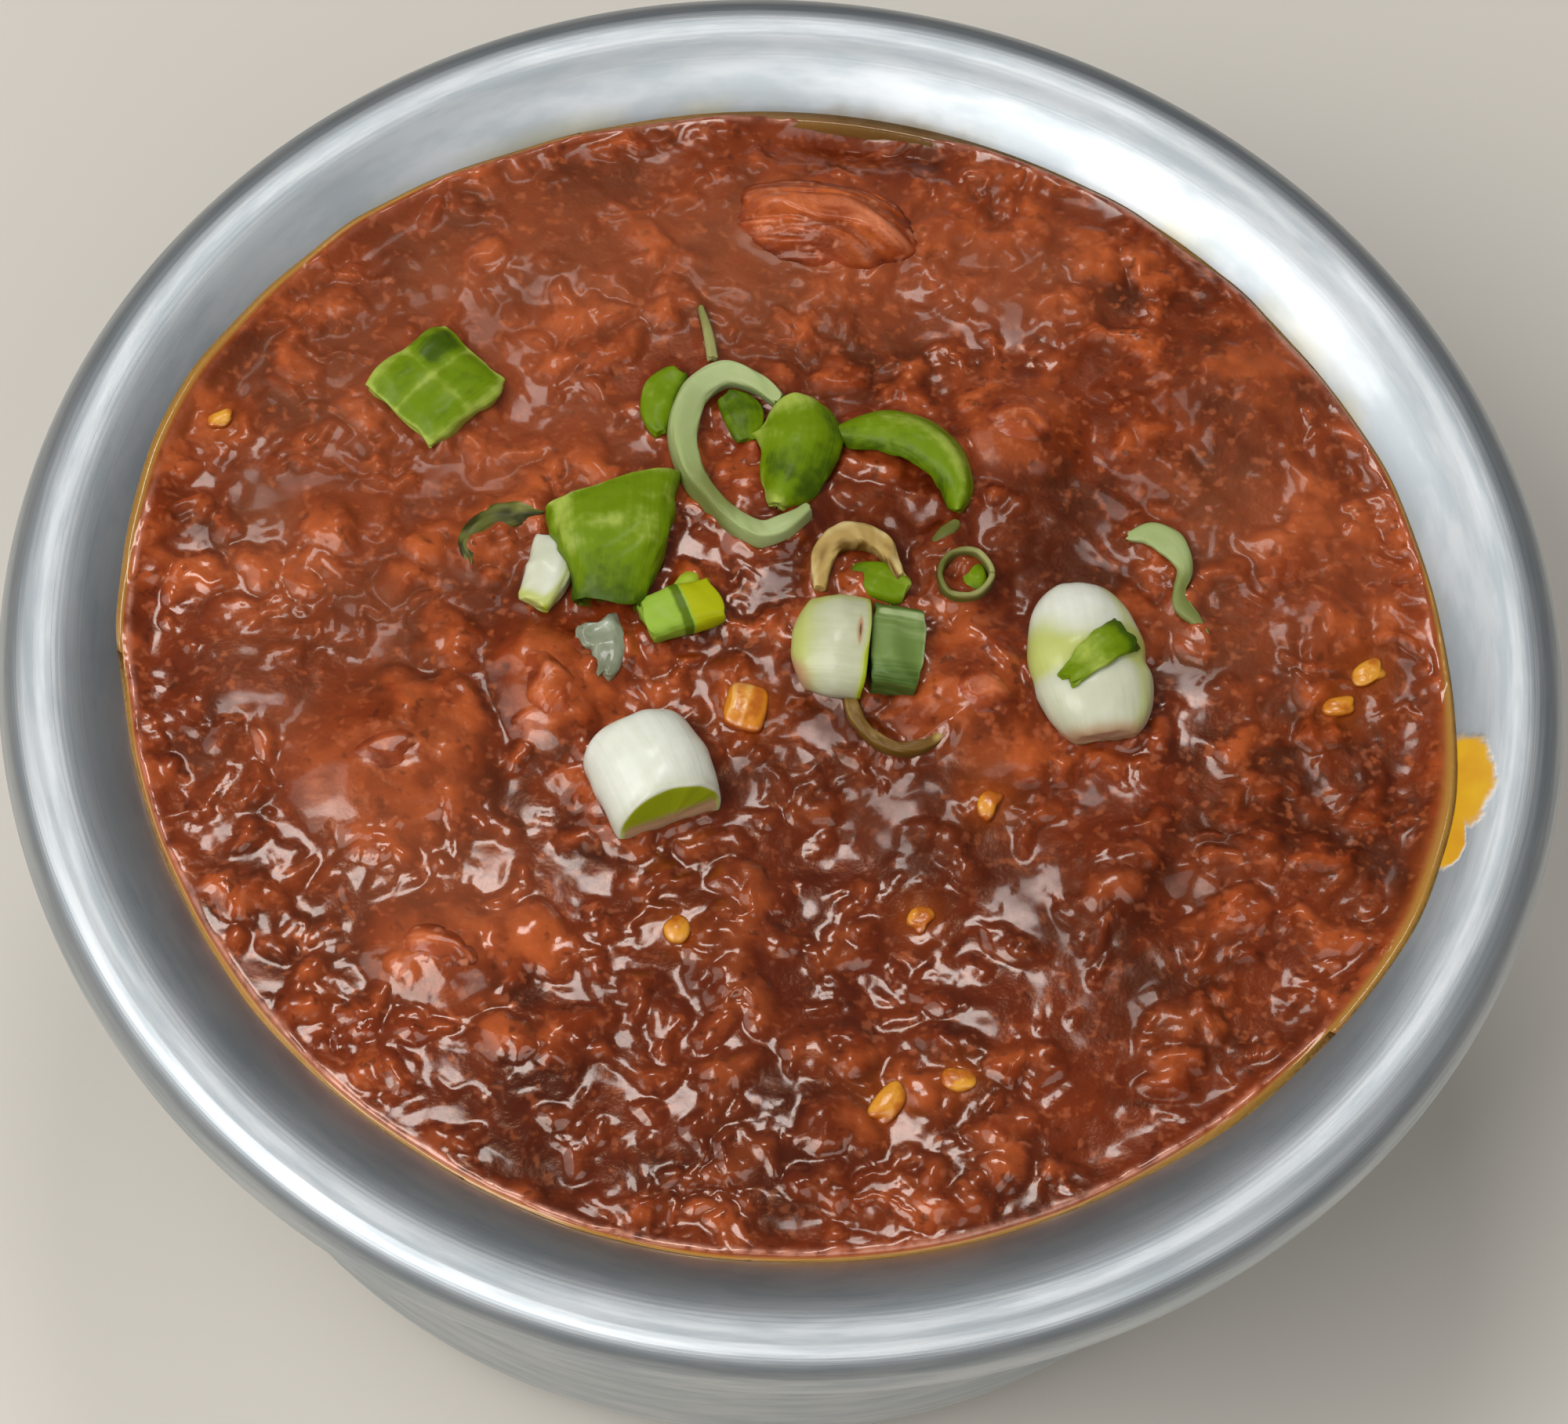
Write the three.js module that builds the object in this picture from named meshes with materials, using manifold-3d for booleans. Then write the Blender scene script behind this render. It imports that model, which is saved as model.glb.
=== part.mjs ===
// A steel bowl filled nearly to its rim with chicken vindaloo, with cut spring onion on top.
// Millimetres, +Z up. The base stands on z = 0, centred on the origin. The near side faces -Y.
import * as THREE from 'three';
import Module from 'manifold-3d';

const wasm = await Module();
wasm.setup();

// ---------- driving dimensions ----------
const RIM_R = 70;          // outer radius over the rolled rim
const BEAD_R = 3.4;        // radius of the rolled rim
const CREST_R = RIM_R - BEAD_R;
const CREST_Z = 62;        // top of the rolled rim
const LIP_BEND = 0.0547;   // how fast the flared lip falls away inside the crest
const LIP_R = 58.1;        // where the lip turns down into the wall
const LIP_LOW_R = 57.6;    // the gravy leaves the lip here and follows the wall
const WALL_TOP_R = 57;     // inner radius under the lip
const SHEET = 1.2;         // wall thickness
const SEAM_Z = 55;         // the flared rim is a ring of its own above this height
const CORNER_R = 18;       // outer radius of the bottom corner
const BASE_R = 39.2;       // flat foot
const TURNS = 48;          // facets round the bowl
const GAP = 0.3;           // clearance between neighbouring solids
const LEVEL = 58.3;        // mean height of the gravy

// ---------- helpers ----------
const lipZ = (r) => CREST_Z - LIP_BEND * (CREST_R - r) ** 2;
const deg = (a) => (a * Math.PI) / 180;

function seeded(seed) {
  let s = seed >>> 0;
  return () => {
    s = (s * 1664525 + 1013904223) >>> 0;
    return s / 4294967296;
  };
}

// smooth value noise in the plane, -1 to 1
const noiseTable = (() => {
  const next = seeded(71);
  return Array.from({ length: 1024 }, () => next() * 2 - 1);
})();
function noise(x, y) {
  const i = Math.floor(x);
  const j = Math.floor(y);
  const fade = (t) => t * t * (3 - 2 * t);
  const u = fade(x - i);
  const v = fade(y - j);
  const node = (a, b) => noiseTable[((a * 73) ^ (b * 151)) & 1023];
  return (node(i, j) * (1 - u) + node(i + 1, j) * u) * (1 - v)
    + (node(i, j + 1) * (1 - u) + node(i + 1, j + 1) * u) * v;
}

function geometryFrom(positions, triangles) {
  const geometry = new THREE.BufferGeometry();
  geometry.setAttribute('position', new THREE.Float32BufferAttribute(positions, 3));
  geometry.setIndex(triangles);
  return geometry;
}

function toSolid(geometry) {
  const index = geometry.getIndex();
  const mesh = new wasm.Mesh({
    numProp: 3,
    vertProperties: new Float32Array(geometry.getAttribute('position').array),
    triVerts: new Uint32Array(index.array),
  });
  mesh.merge();
  return new wasm.Manifold(mesh);
}

function toGeometry(solid) {
  const mesh = solid.getMesh();
  return geometryFrom(Array.from(mesh.vertProperties), Array.from(mesh.triVerts));
}

// the largest piece that is left after a cut
function largest(solid) {
  const pieces = solid.decompose();
  return pieces.reduce((a, b) => (b.volume() > a.volume() ? b : a));
}

// ---------- bowl ----------
const outerCorner = [-70, -48, -28, -12, 0].map((a) => [
  BASE_R + CORNER_R * Math.cos(deg(a)),
  CORNER_R + CORNER_R * Math.sin(deg(a)),
]);
const innerCorner = [0, -20, -45, -70].map((a) => [
  BASE_R + (CORNER_R - SHEET) * Math.cos(deg(a)),
  CORNER_R + (CORNER_R - SHEET) * Math.sin(deg(a)),
]);
const bead = [205, 240, 272, 304, 336, 368, 396, 424, 450].map((a) => [
  CREST_R + BEAD_R * Math.cos(deg(a)),
  CREST_Z - BEAD_R + BEAD_R * Math.sin(deg(a)),
]);
const lip = [64.6, 62.6, 60.8, 59.3, LIP_R].map((r) => [r, lipZ(r)]);
const throat = [[57.5, 57], [57.1, 54.6], [WALL_TOP_R, 51]];
const underLip = [[59.8, 57.4], [62, 58.7]];
const seamIn = 57.2;
const seamOut = 58.6;

// The bowl stands on a flat foot. Its wall ends at the seam, level all round.
const wallProfile = [
  [0, 0], [BASE_R, 0], ...outerCorner, [WALL_TOP_R + SHEET, 51],
  [seamOut, SEAM_Z - GAP / 2], [seamIn, SEAM_Z - GAP / 2], [WALL_TOP_R, 51],
  ...innerCorner, [BASE_R, SHEET], [0, SHEET],
];

// The rim flares out from the seam over the rolled bead and comes back down the lip.
const rimProfile = [
  [seamIn, SEAM_Z + GAP / 2], [seamOut, SEAM_Z + GAP / 2], ...underLip, ...bead, ...lip,
  throat[0], [seamIn, SEAM_Z + GAP / 2],
];

function turned(profile) {
  const points = profile.map(([r, z]) => new THREE.Vector2(r, z));
  const lathe = new THREE.LatheGeometry(points, TURNS);
  lathe.deleteAttribute('normal');
  lathe.deleteAttribute('uv');
  lathe.rotateX(Math.PI / 2);
  return lathe;
}

// ---------- gravy ----------
// the gravy's edge: it creeps up the lip at both sides
// each swell: direction in degrees from +X, amount, half width in degrees
const EDGE_R = 58;
const swells = [[165, 1.9, 28], [347, 2.3, 22], [25, 0.5, 14], [262, 0.3, 14], [135, 0.4, 14]];
function edgeRadius(angle) {
  let r = EDGE_R;
  for (const [direction, amount, width] of swells) {
    const off = ((((angle * 180) / Math.PI - direction) % 360) + 540) % 360 - 180;
    r += amount * Math.exp(-((off / width) ** 2));
  }
  return r;
}

// lumps and hollows: x, y, height, half width in x, half width in y
const lumps = [
  [0, 9, 1.0, 19, 14], [-30, 39, 0.5, 9, 6], [-45, 16, 0.5, 8, 9], [-47, -10, 0.6, 6, 7],
  [20, 42, 0.7, 8, 6], [35, 31, 1.3, 11, 11], [45, 9, 0.5, 7, 7], [31, -17, 1.1, 4.5, 4],
  [37.5, -19.5, -1.4, 3.4, 2.6], [45, -15, 0.6, 5, 5], [12, -29, -0.8, 6, 5],
  [5, -19, -0.5, 6, 4], [-18, -43, 0.7, 8, 5], [0, -45, 0.5, 7, 5], [20, -46, 0.6, 6, 4],
  [-8, 38, 0.5, 6, 4], [-41.5, 7, 0.8, 3, 2.6], [-12, -31, 0.5, 6, 5], [28, -36, 0.5, 6, 5],
  [-47, -27, 0.5, 5, 6],
];
function surface(x, y) {
  let z = LEVEL + 0.3 * noise(x / 6.5 + 20, y / 6.5 + 40);
  for (const [cx, cy, height, wx, wy] of lumps) {
    z += height * Math.exp(-(((x - cx) / wx) ** 2) - ((y - cy) / wy) ** 2);
  }
  return z;
}

// a point of the lip moved off the metal by the clearance
function offLip(r) {
  const slope = 2 * LIP_BEND * (CREST_R - r);
  const length = Math.hypot(1, slope);
  return [r - (GAP * slope) / length, lipZ(r) + GAP / length];
}

function gravyGeometry() {
  const rings = [0.1, 0.21, 0.32, 0.43, 0.53, 0.63, 0.72, 0.8, 0.88, 0.95];
  const rimStart = 0.84;                  // where the surface starts to run down to the edge
  const positions = [0, 0, surface(0, 0)];
  const triangles = [];
  const rows = [];
  const addRow = (pointAt) => {
    rows.push(positions.length / 3);
    for (let i = 0; i < TURNS; i += 1) {
      const angle = (i / TURNS) * 2 * Math.PI;
      const [r, z] = pointAt(angle);
      positions.push(r * Math.cos(angle), r * Math.sin(angle), z);
    }
  };
  for (const t of rings) {
    addRow((angle) => {
      const [edgeR, edgeZ] = offLip(edgeRadius(angle));
      const r = edgeR * t;
      const blend = Math.max(0, (t - rimStart) / (1 - rimStart)) ** 2;
      const z = surface(r * Math.cos(angle), r * Math.sin(angle));
      return [r, z * (1 - blend) + (edgeZ + 0.2) * blend];
    });
  }
  for (const share of [1, 0.5, 0]) {
    addRow((angle) => offLip(LIP_LOW_R + (edgeRadius(angle) - LIP_LOW_R) * share));
  }
  for (const [r, z] of throat) {
    addRow(() => [r - GAP * 1.3, z + GAP * 0.4]);
  }
  for (const [r, z] of innerCorner) {
    addRow(() => [r - GAP, z + GAP]);
  }
  addRow(() => [BASE_R - GAP, SHEET + GAP]);
  const foot = positions.length / 3;
  positions.push(0, 0, SHEET + GAP);
  for (let i = 0; i < TURNS; i += 1) {
    const next = (i + 1) % TURNS;
    triangles.push(0, rows[0] + i, rows[0] + next);
    for (let k = 0; k + 1 < rows.length; k += 1) {
      const [a, b, c, d] = [rows[k] + i, rows[k] + next, rows[k + 1] + next, rows[k + 1] + i];
      triangles.push(a, d, c, a, c, b);
    }
    const last = rows[rows.length - 1];
    triangles.push(last + i, foot, last + next);
  }
  return geometryFrom(positions, triangles);
}

// small yellow and orange bits stuck in the gravy: x, y, half length, half width, turn
const bits = [
  [-3, -5.9, 2.3, 1.9, 80], [19.3, -12.2, 1.9, 1.3, 70], [-6.4, -28.4, 1.9, 1.4, 100],
  [14.5, -24.1, 1.7, 1.5, 60], [13.6, -42.2, 2.6, 1.6, 60], [19.4, -39.2, 1.7, 1.3, 10],
  [49.6, 2, 1.7, 1.2, 20], [52.1, 5.8, 2, 1.5, 40], [-53.6, 16.4, 1.5, 1, 30],
];
function bitSolid([x, y, length, width, turn]) {
  const geometry = new THREE.IcosahedronGeometry(1, 0);
  geometry.deleteAttribute('normal');
  geometry.deleteAttribute('uv');
  geometry.scale(length, width, 1.1);
  geometry.rotateZ(deg(turn));
  geometry.translate(x, y, surface(x, y) + 0.05);
  geometry.setIndex([...Array(geometry.getAttribute('position').count).keys()]);
  return toSolid(geometry);
}

// ---------- food pieces ----------
const at = (value, t) => {
  if (!Array.isArray(value)) return value;
  const x = t * (value.length - 1);
  const i = Math.min(value.length - 2, Math.floor(x));
  return value[i] + (value[i + 1] - value[i]) * (x - i);
};

// A piece drawn out along a path. Path heights are above the gravy's surface, w is the width
// across, h the thickness, square is 1 for a round section and up to 2 for a boxy one, and
// camber lifts the middle of the section. Slant and rake turn the cut ends, sideways and up.
// Grow makes the piece larger all round, more so under an arch.
function drawnOut(piece, grow = 0) {
  const { path, w, h, sides = 8, steps = 6 } = piece;
  const { square = 1.25, camber = 0, loop = false, lean = 0, slant = 0, rake = 0 } = piece;
  const points = path.map(([x, y, lift]) => new THREE.Vector3(x, y, surface(x, y) + lift));
  const curve = new THREE.CatmullRomCurve3(points, loop, 'centripetal');
  const positions = [];
  const triangles = [];
  const count = loop ? steps : steps + 1;
  for (let k = 0; k < count; k += 1) {
    const t = k / steps;
    const centre = curve.getPoint(t);
    const along = curve.getTangent(t);
    if (!loop && k === 0) centre.addScaledVector(along, -grow);
    if (!loop && k === steps) centre.addScaledVector(along, grow);
    const across = new THREE.Vector3(0, 0, 1).cross(along).normalize();
    const up = along.clone().cross(across).normalize();
    const turn = deg(at(lean, t));
    const side = across.clone().multiplyScalar(Math.cos(turn)).addScaledVector(up, Math.sin(turn));
    const top = up.clone().multiplyScalar(Math.cos(turn)).addScaledVector(across, -Math.sin(turn));
    const halfW = at(w, t) / 2 + grow;
    const halfH = at(h, t) / 2 + grow * (1 + camber);
    for (let s = 0; s < sides; s += 1) {
      const a = ((s + 0.5) / sides) * 2 * Math.PI;
      const power = 1 / square;
      const c = Math.sign(Math.cos(a)) * Math.abs(Math.cos(a)) ** power;
      const d = Math.sign(Math.sin(a)) * Math.abs(Math.sin(a)) ** power;
      const bow = camber * (0.5 - c * c);
      const forward = at(slant, t) * c * halfW + at(rake, t) * d * halfH;
      const p = centre.clone().addScaledVector(along, forward);
      p.addScaledVector(side, c * halfW).addScaledVector(top, d * halfH + bow);
      positions.push(p.x, p.y, p.z);
    }
  }
  for (let k = 0; k < steps; k += 1) {
    const from = k * sides;
    const to = ((k + 1) % count) * sides;
    for (let s = 0; s < sides; s += 1) {
      const n = (s + 1) % sides;
      triangles.push(from + s, from + n, to + n, from + s, to + n, to + s);
    }
  }
  if (!loop) {
    const last = steps * sides;
    for (let s = 1; s + 1 < sides; s += 1) {
      triangles.push(0, s + 1, s, last, last + s, last + s + 1);
    }
  }
  return toSolid(geometryFrom(positions, triangles));
}

// the same, with a hollow running through it
function hollowOut(piece) {
  const bore = { ...piece, loop: false };
  const shrink = piece.wall;
  bore.w = (Array.isArray(piece.w) ? piece.w : [piece.w, piece.w]).map((v) => v - 2 * shrink);
  bore.h = (Array.isArray(piece.h) ? piece.h : [piece.h, piece.h]).map((v) => v - 2 * shrink);
  const first = piece.path[0];
  const second = piece.path[1];
  const last = piece.path[piece.path.length - 1];
  const before = piece.path[piece.path.length - 2];
  const beyond = (p, q) => [p[0] * 1.25 - q[0] * 0.25, p[1] * 1.25 - q[1] * 0.25, p[2]];
  bore.path = [beyond(first, second), ...piece.path.slice(1, -1), beyond(last, before)];
  return drawnOut(piece).subtract(drawnOut(bore));
}

// A chunk of chicken: a lumpy ball, flattened and turned.
function chunk(piece, grow = 0) {
  const { x, y, top, rx, ry, rz, turn = 0, seed = 1, detail = 1 } = piece;
  const geometry = new THREE.IcosahedronGeometry(1, detail);
  geometry.deleteAttribute('normal');
  geometry.deleteAttribute('uv');
  const position = geometry.getAttribute('position');
  const v = new THREE.Vector3();
  for (let i = 0; i < position.count; i += 1) {
    v.fromBufferAttribute(position, i);
    const bump = 1 + 0.09 * noise(v.x * 1.7 + seed * 9, v.y * 1.7 + v.z * 2.1 + seed * 5);
    v.set(v.x * rx * bump, v.y * ry * bump, v.z * rz * bump);
    const out = v.clone().set(v.x / rx ** 2, v.y / ry ** 2, v.z / rz ** 2).normalize();
    v.addScaledVector(out, grow);
    position.setXYZ(i, v.x, v.y, v.z);
  }
  geometry.rotateZ(deg(turn));
  geometry.translate(x, y, top - rz);
  geometry.setIndex([...Array(position.count).keys()]);
  return toSolid(geometry);
}

// Spring onion, uppermost pieces first, then the chicken.
const greens = {
  oval_stripe: {
    path: [[25.0, -1.3, 4.6], [26.4, 0.5, 5.2], [28.1, 2.3, 5.2], [29.8, 4.1, 4.2]],
    w: [2.2, 2.9, 3.3, 3.6],
    h: 1.2,
    steps: 5,
  },
  onion_oval: {
    path: [
      [25.2, 9.4, 1.2], [25.6, 6.8, 1.6], [26.4, 3.3, 1.8], [27.5, 0.2, 1.8], [28.5, -2.6, 1.6],
      [29.1, -4.9, 1.2],
    ],
    w: [5.0, 9.0, 10.4, 10.9, 9.8, 6.0],
    h: [3.8, 5.8, 6.7, 6.9, 6.2, 4.2],
    sides: 10,
    steps: 6,
  },
  onion_white: {
    path: [[-13.1, -10.3, 1.5], [-10.5, -14.3, 1.7], [-8.2, -18.3, 1.5]],
    w: [8.2, 10.8, 11.0, 10.4, 9.8],
    h: [6.2, 8.0, 8.4, 8.3, 8.2],
    rake: [0, -0.15, -0.32],
    sides: 12,
    steps: 4,
    square: 1,
  },
  onion_dome: {
    path: [[0.5, 0.4, 0.9], [1.8, 0.4, 1.3], [4.2, 0.5, 1.6], [6.9, 0.6, 1.5]],
    w: [4.4, 8.2, 10.0, 9.8],
    h: [3, 4.8, 5.9, 5.9],
    sides: 10,
    steps: 4,
  },
  dome_green: {
    path: [[7.4, 0.7, 1.3], [9.6, 0.8, 1.3], [11.8, 0.9, 1.0]],
    w: [8.4, 8.2, 7.7],
    h: [4.6, 4.6, 3.8],
    sides: 10,
    steps: 3,
    square: 1.8,
  },
  ring_large: {
    path: [
      [-3.6, 25.2, 1.1], [-6.1, 26.8, 1.2], [-9.0, 27.2, 1.3], [-11.3, 25.0, 1.4],
      [-12.0, 20.8, 1.4], [-10.9, 16.8, 1.4], [-8.7, 13.8, 1.2], [-6.2, 11.8, 1.0],
      [-3.6, 10.9, 0.8], [-1.4, 12.0, 0.8], [0.3, 13.9, 0.7],
    ],
    w: [1.2, 1.8, 2.4, 2.8, 2.7, 2.0, 1.5, 1.7, 2.1, 1.9, 1.0],
    h: 2.4,
    steps: 15,
    sides: 8,
    lean: -12,
    square: 2,
  },
  leaf_fold: {
    path: [[-2.3, 25.2, 1.5], [-1.3, 21.9, 2.1], [-1.6, 17.8, 1.4], [-2.6, 14.2, 0.6]],
    w: [4.6, 8.2, 6.6, 2.4],
    h: [1.3, 1.5, 1.4, 1.1],
    camber: 1.4,
    steps: 5,
  },
  leaf_behind: {
    path: [[-13.0, 27.4, 0.6], [-14.3, 25.2, 0.8], [-14.5, 22.4, 0.6], [-13.9, 20.6, 0.3]],
    w: [2.0, 3.6, 3.0, 1.4],
    h: 1.4,
    steps: 5,
  },
  leaf_in_ring: {
    path: [[-8.6, 25.2, 0.5], [-6.8, 23.8, 0.7], [-6.1, 20.9, 0.5]],
    w: [2.2, 4.0, 2.4],
    h: 1.5,
    steps: 4,
  },
  strip_thin: {
    path: [[-12.0, 34.8, 0.4], [-11.0, 32.2, 0.6], [-10.2, 29.2, 0.8]],
    w: [0.6, 1.0, 1.1],
    h: 0.9,
    sides: 6,
    steps: 4,
  },
  leaf_arch: {
    path: [
      [2.3, 22.7, 0.9], [6.1, 23.7, 1.6], [9.4, 23.0, 2.0], [12.1, 21.2, 1.8],
      [13.4, 18.8, 1.2], [13.4, 16.4, 0.6],
    ],
    w: [3.0, 5.2, 5.6, 4.8, 3.6, 1.6],
    h: [1.2, 1.5, 1.6, 1.5, 1.3, 1.0],
    camber: 1.1,
    lean: -14,
    steps: 8,
  },
  stem_small: {
    path: [[12.0, 12.6, 0.4], [12.9, 14.0, 0.6], [13.9, 15.4, 0.5]],
    w: [1.3, 1.5, 0.9],
    h: 0.9,
    sides: 6,
    steps: 3,
  },
  ring_small: {
    path: [
      [17.4, 10.0, 1.0], [15.8, 12.0, 1.0], [13.6, 11.4, 1.0], [12.7, 9.2, 1.0], [13.8, 7.2, 1.0],
      [16.2, 7.6, 1.0],
    ],
    w: 0.6,
    h: 2.0,
    sides: 6,
    steps: 10,
    loop: true,
  },
  ring_golden: {
    path: [
      [2.2, 5.9, 0.8], [2.0, 8.4, 1.0], [2.9, 10.8, 1.1], [4.8, 12.0, 1.1], [6.8, 11.6, 1.0],
      [8.2, 10.0, 0.9], [9.3, 8.2, 0.8],
    ],
    w: [1.3, 2.0, 2.3, 2.5, 2.2, 1.6, 1.0],
    h: 2.3,
    sides: 8,
    steps: 9,
    square: 2,
  },
  leaf_inner: {
    path: [[4.8, 8.3, 0.5], [7.2, 7.8, 0.9], [9.9, 6.9, 0.7]],
    w: [2.0, 3.9, 2.6],
    h: [1.4, 2, 1.6],
    steps: 4,
  },
  curl_half: {
    path: [
      [6.0, -3.6, 0.5], [6.9, -5.9, 0.6], [8.8, -7.9, 0.7], [11.3, -8.6, 0.8], [13.7, -7.6, 0.7],
      [15.4, -5.4, 0.4],
    ],
    w: [1.3, 1.4, 1.3, 1.2, 1.1, 0.8],
    h: 1.7,
    sides: 6,
    steps: 8,
  },
  tube_flat: {
    path: [[-37.7, 18.9, 1.1], [-34.8, 22.5, 1.3], [-31.9, 26.2, 1.1]],
    w: [9.2, 9.5, 8.4],
    h: [1.5, 2.8, 2.8, 2.8, 1.5],
    sides: 10,
    steps: 4,
    square: 1.5,
  },
  tube_big: {
    path: [[-17.5, 13.2, 1.7], [-17.0, 9.6, 2.0], [-16.5, 5.6, 1.8], [-16.4, 1.9, 1.2]],
    w: [12.0, 10.9, 8.4, 5.8],
    h: [4.4, 4.9, 4.6, 3.4],
    slant: [-0.36, -0.2, 0, 0],
    wall: 1.1,
    sides: 10,
    steps: 5,
    square: 1.35,
  },
  white_wedge: {
    path: [[-22.5, 8.1, 0.8], [-22.1, 4.6, 1.1], [-23.1, 1.3, 0.7]],
    w: [3.0, 4.3, 3.0],
    h: [2.0, 2.8, 2.0],
    steps: 5,
    square: 1.5,
  },
  tail_dark: {
    path: [
      [-23.9, 11.1, 0.6], [-26.4, 10.5, 0.6], [-28.8, 9.0, 0.5], [-29.9, 7.0, 0.4],
      [-29.4, 5.2, 0.2],
    ],
    w: [2.4, 2.6, 2.3, 1.8, 0.9],
    h: 1.1,
    sides: 6,
    steps: 7,
  },
  section_small: {
    path: [[-12.8, 0.6, 0.9], [-10.0, 2.2, 1.2], [-6.9, 3.9, 0.9]],
    w: [4.1, 4.6, 4.4],
    h: [2.4, 2.9, 2.4],
    sides: 10,
    steps: 4,
    square: 1.6,
  },
  bit_pale: {
    path: [[-17.4, 0.2, 0.4], [-15.9, -1.8, 0.6], [-16.1, -4.6, 0.3]],
    w: [5.6, 3.2, 2.2],
    h: [1.2, 1.6, 1.2],
    steps: 5,
  },
  leaf_curl: {
    path: [
      [29.4, 16.4, 0.2], [31.3, 16.7, 0.9], [33.3, 15.6, 1.3], [34.7, 13.5, 1.0],
      [34.4, 11.4, 0.9], [34.8, 9.8, 0.8], [36.0, 8.6, 0.6], [37.3, 7.3, 0.2],
    ],
    w: [1.2, 2.7, 3.0, 1.6, 1.2, 2.0, 1.4, 0.7],
    h: 0.9,
    sides: 6,
    steps: 10,
  },
  strand_pale: {
    path: [[15.8, 5.0, 0.5], [17.9, 3.9, 0.7], [20.0, 1.1, 0.5]],
    w: [0.8, 1.1, 0.8],
    h: 1.3,
    sides: 6,
    steps: 4,
  },
};
const chicken = {
  chicken_back: { x: -1.5, y: 45.6, top: 61.7, rx: 10.6, ry: 5.9, rz: 6, turn: -6, seed: 1, detail: 2 },
  chicken_left: { x: -20.4, y: -6.4, top: 61.0, rx: 3.9, ry: 6.6, rz: 5, turn: 28, seed: 2 },
  chicken_right: { x: 17.4, y: -2.2, top: 61.3, rx: 5.6, ry: 6.7, rz: 5.5, turn: 12, seed: 3, detail: 2 },
  chicken_lump: { x: -33.5, y: -15.4, top: 60.9, rx: 7.4, ry: 6.4, rz: 6, turn: 20, seed: 4 },
  chicken_low: { x: -26.2, y: -33.6, top: 60.8, rx: 5.8, ry: 4.6, rz: 5, turn: -15, seed: 5 },
  chicken_red: { x: 18.4, y: 26.4, top: 61.2, rx: 5.2, ry: 4.8, rz: 5, turn: 0, seed: 6 },
};

// ---------- the part ----------
const colours = {
  bowl: 0xaab4bb, gravy: 0x7a3018, chicken: 0xa8481e, leaf: 0x6f9a1c, pale: 0xb4c98c,
  white: 0xe6e8dc, golden: 0xc9a45c, dark: 0x4b5c1e,
};
const tints = {
  onion_oval: 'white', onion_white: 'white', onion_dome: 'white', white_wedge: 'white',
  ring_large: 'pale', ring_small: 'pale', ring_golden: 'golden', tail_dark: 'dark',
  strand_pale: 'golden', strip_thin: 'pale', leaf_curl: 'pale', bit_pale: 'pale',
};

const part = new THREE.Group();
part.name = 'bowl_of_chicken_vindaloo';
function addPiece(name, geometry, colour, metalness = 0, roughness = 0.5) {
  geometry.computeVertexNormals();
  const material = new THREE.MeshStandardMaterial({ color: colour, metalness, roughness });
  const mesh = new THREE.Mesh(geometry, material);
  mesh.name = name;
  part.add(mesh);
}

addPiece('bowl', turned(wallProfile), colours.bowl, 1, 0.3);
addPiece('rim', turned(rimProfile), colours.bowl, 1, 0.3);

let cleared = null;                       // everything placed so far, grown by the clearance
const clear = (solid) => {
  cleared = cleared ? cleared.add(solid) : solid;
};
for (const [name, piece] of Object.entries(greens)) {
  const whole = piece.wall ? hollowOut(piece) : drawnOut(piece);
  const solid = cleared ? largest(whole.subtract(cleared)) : whole;
  addPiece(name, toGeometry(solid), colours[tints[name] ?? 'leaf']);
  clear(drawnOut(piece, GAP));
}
for (const [name, piece] of Object.entries(chicken)) {
  addPiece(name, toGeometry(largest(chunk(piece).subtract(cleared))), colours.chicken);
  clear(chunk(piece, GAP));
}

let gravy = toSolid(gravyGeometry());
for (const bit of bits) gravy = gravy.add(bitSolid(bit));
addPiece('gravy', toGeometry(largest(gravy.subtract(cleared))), colours.gravy);

export default part;
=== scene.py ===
import math

import bmesh
import bpy
import numpy as np
from mathutils import Matrix, Vector
from mathutils.bvhtree import BVHTree


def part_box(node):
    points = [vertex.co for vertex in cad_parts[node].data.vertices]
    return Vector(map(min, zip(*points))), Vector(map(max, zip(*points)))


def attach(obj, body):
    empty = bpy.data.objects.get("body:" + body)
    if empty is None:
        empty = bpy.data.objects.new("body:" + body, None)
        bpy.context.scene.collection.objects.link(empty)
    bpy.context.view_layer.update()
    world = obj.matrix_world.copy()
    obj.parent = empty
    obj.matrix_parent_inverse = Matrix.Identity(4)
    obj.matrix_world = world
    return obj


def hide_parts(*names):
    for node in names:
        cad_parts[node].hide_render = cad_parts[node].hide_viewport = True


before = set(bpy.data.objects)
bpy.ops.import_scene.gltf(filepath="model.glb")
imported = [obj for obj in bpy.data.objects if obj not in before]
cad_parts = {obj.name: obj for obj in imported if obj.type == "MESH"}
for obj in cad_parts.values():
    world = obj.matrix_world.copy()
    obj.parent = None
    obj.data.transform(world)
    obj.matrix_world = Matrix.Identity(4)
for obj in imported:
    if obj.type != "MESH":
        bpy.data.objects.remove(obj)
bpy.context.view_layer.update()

# ---------- table, camera and light ----------
# A plain pale table top in a soft studio. The camera stands on the near side, half a metre off
# and 61 degrees above the table, and is turned a little. The light comes mostly from the near
# left and the left, and a small one from behind gives the wet curry its sheen.
rim_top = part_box("rim")[1].z
bpy.context.scene.view_settings.view_transform = "Standard"

camera_place = Vector((0, -0.23998, rim_top + 0.43864))
camera_target = Vector((0.000417, -0.007651, rim_top))
camera_turn = math.radians(7.443)
camera_lens = 129.2

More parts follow.
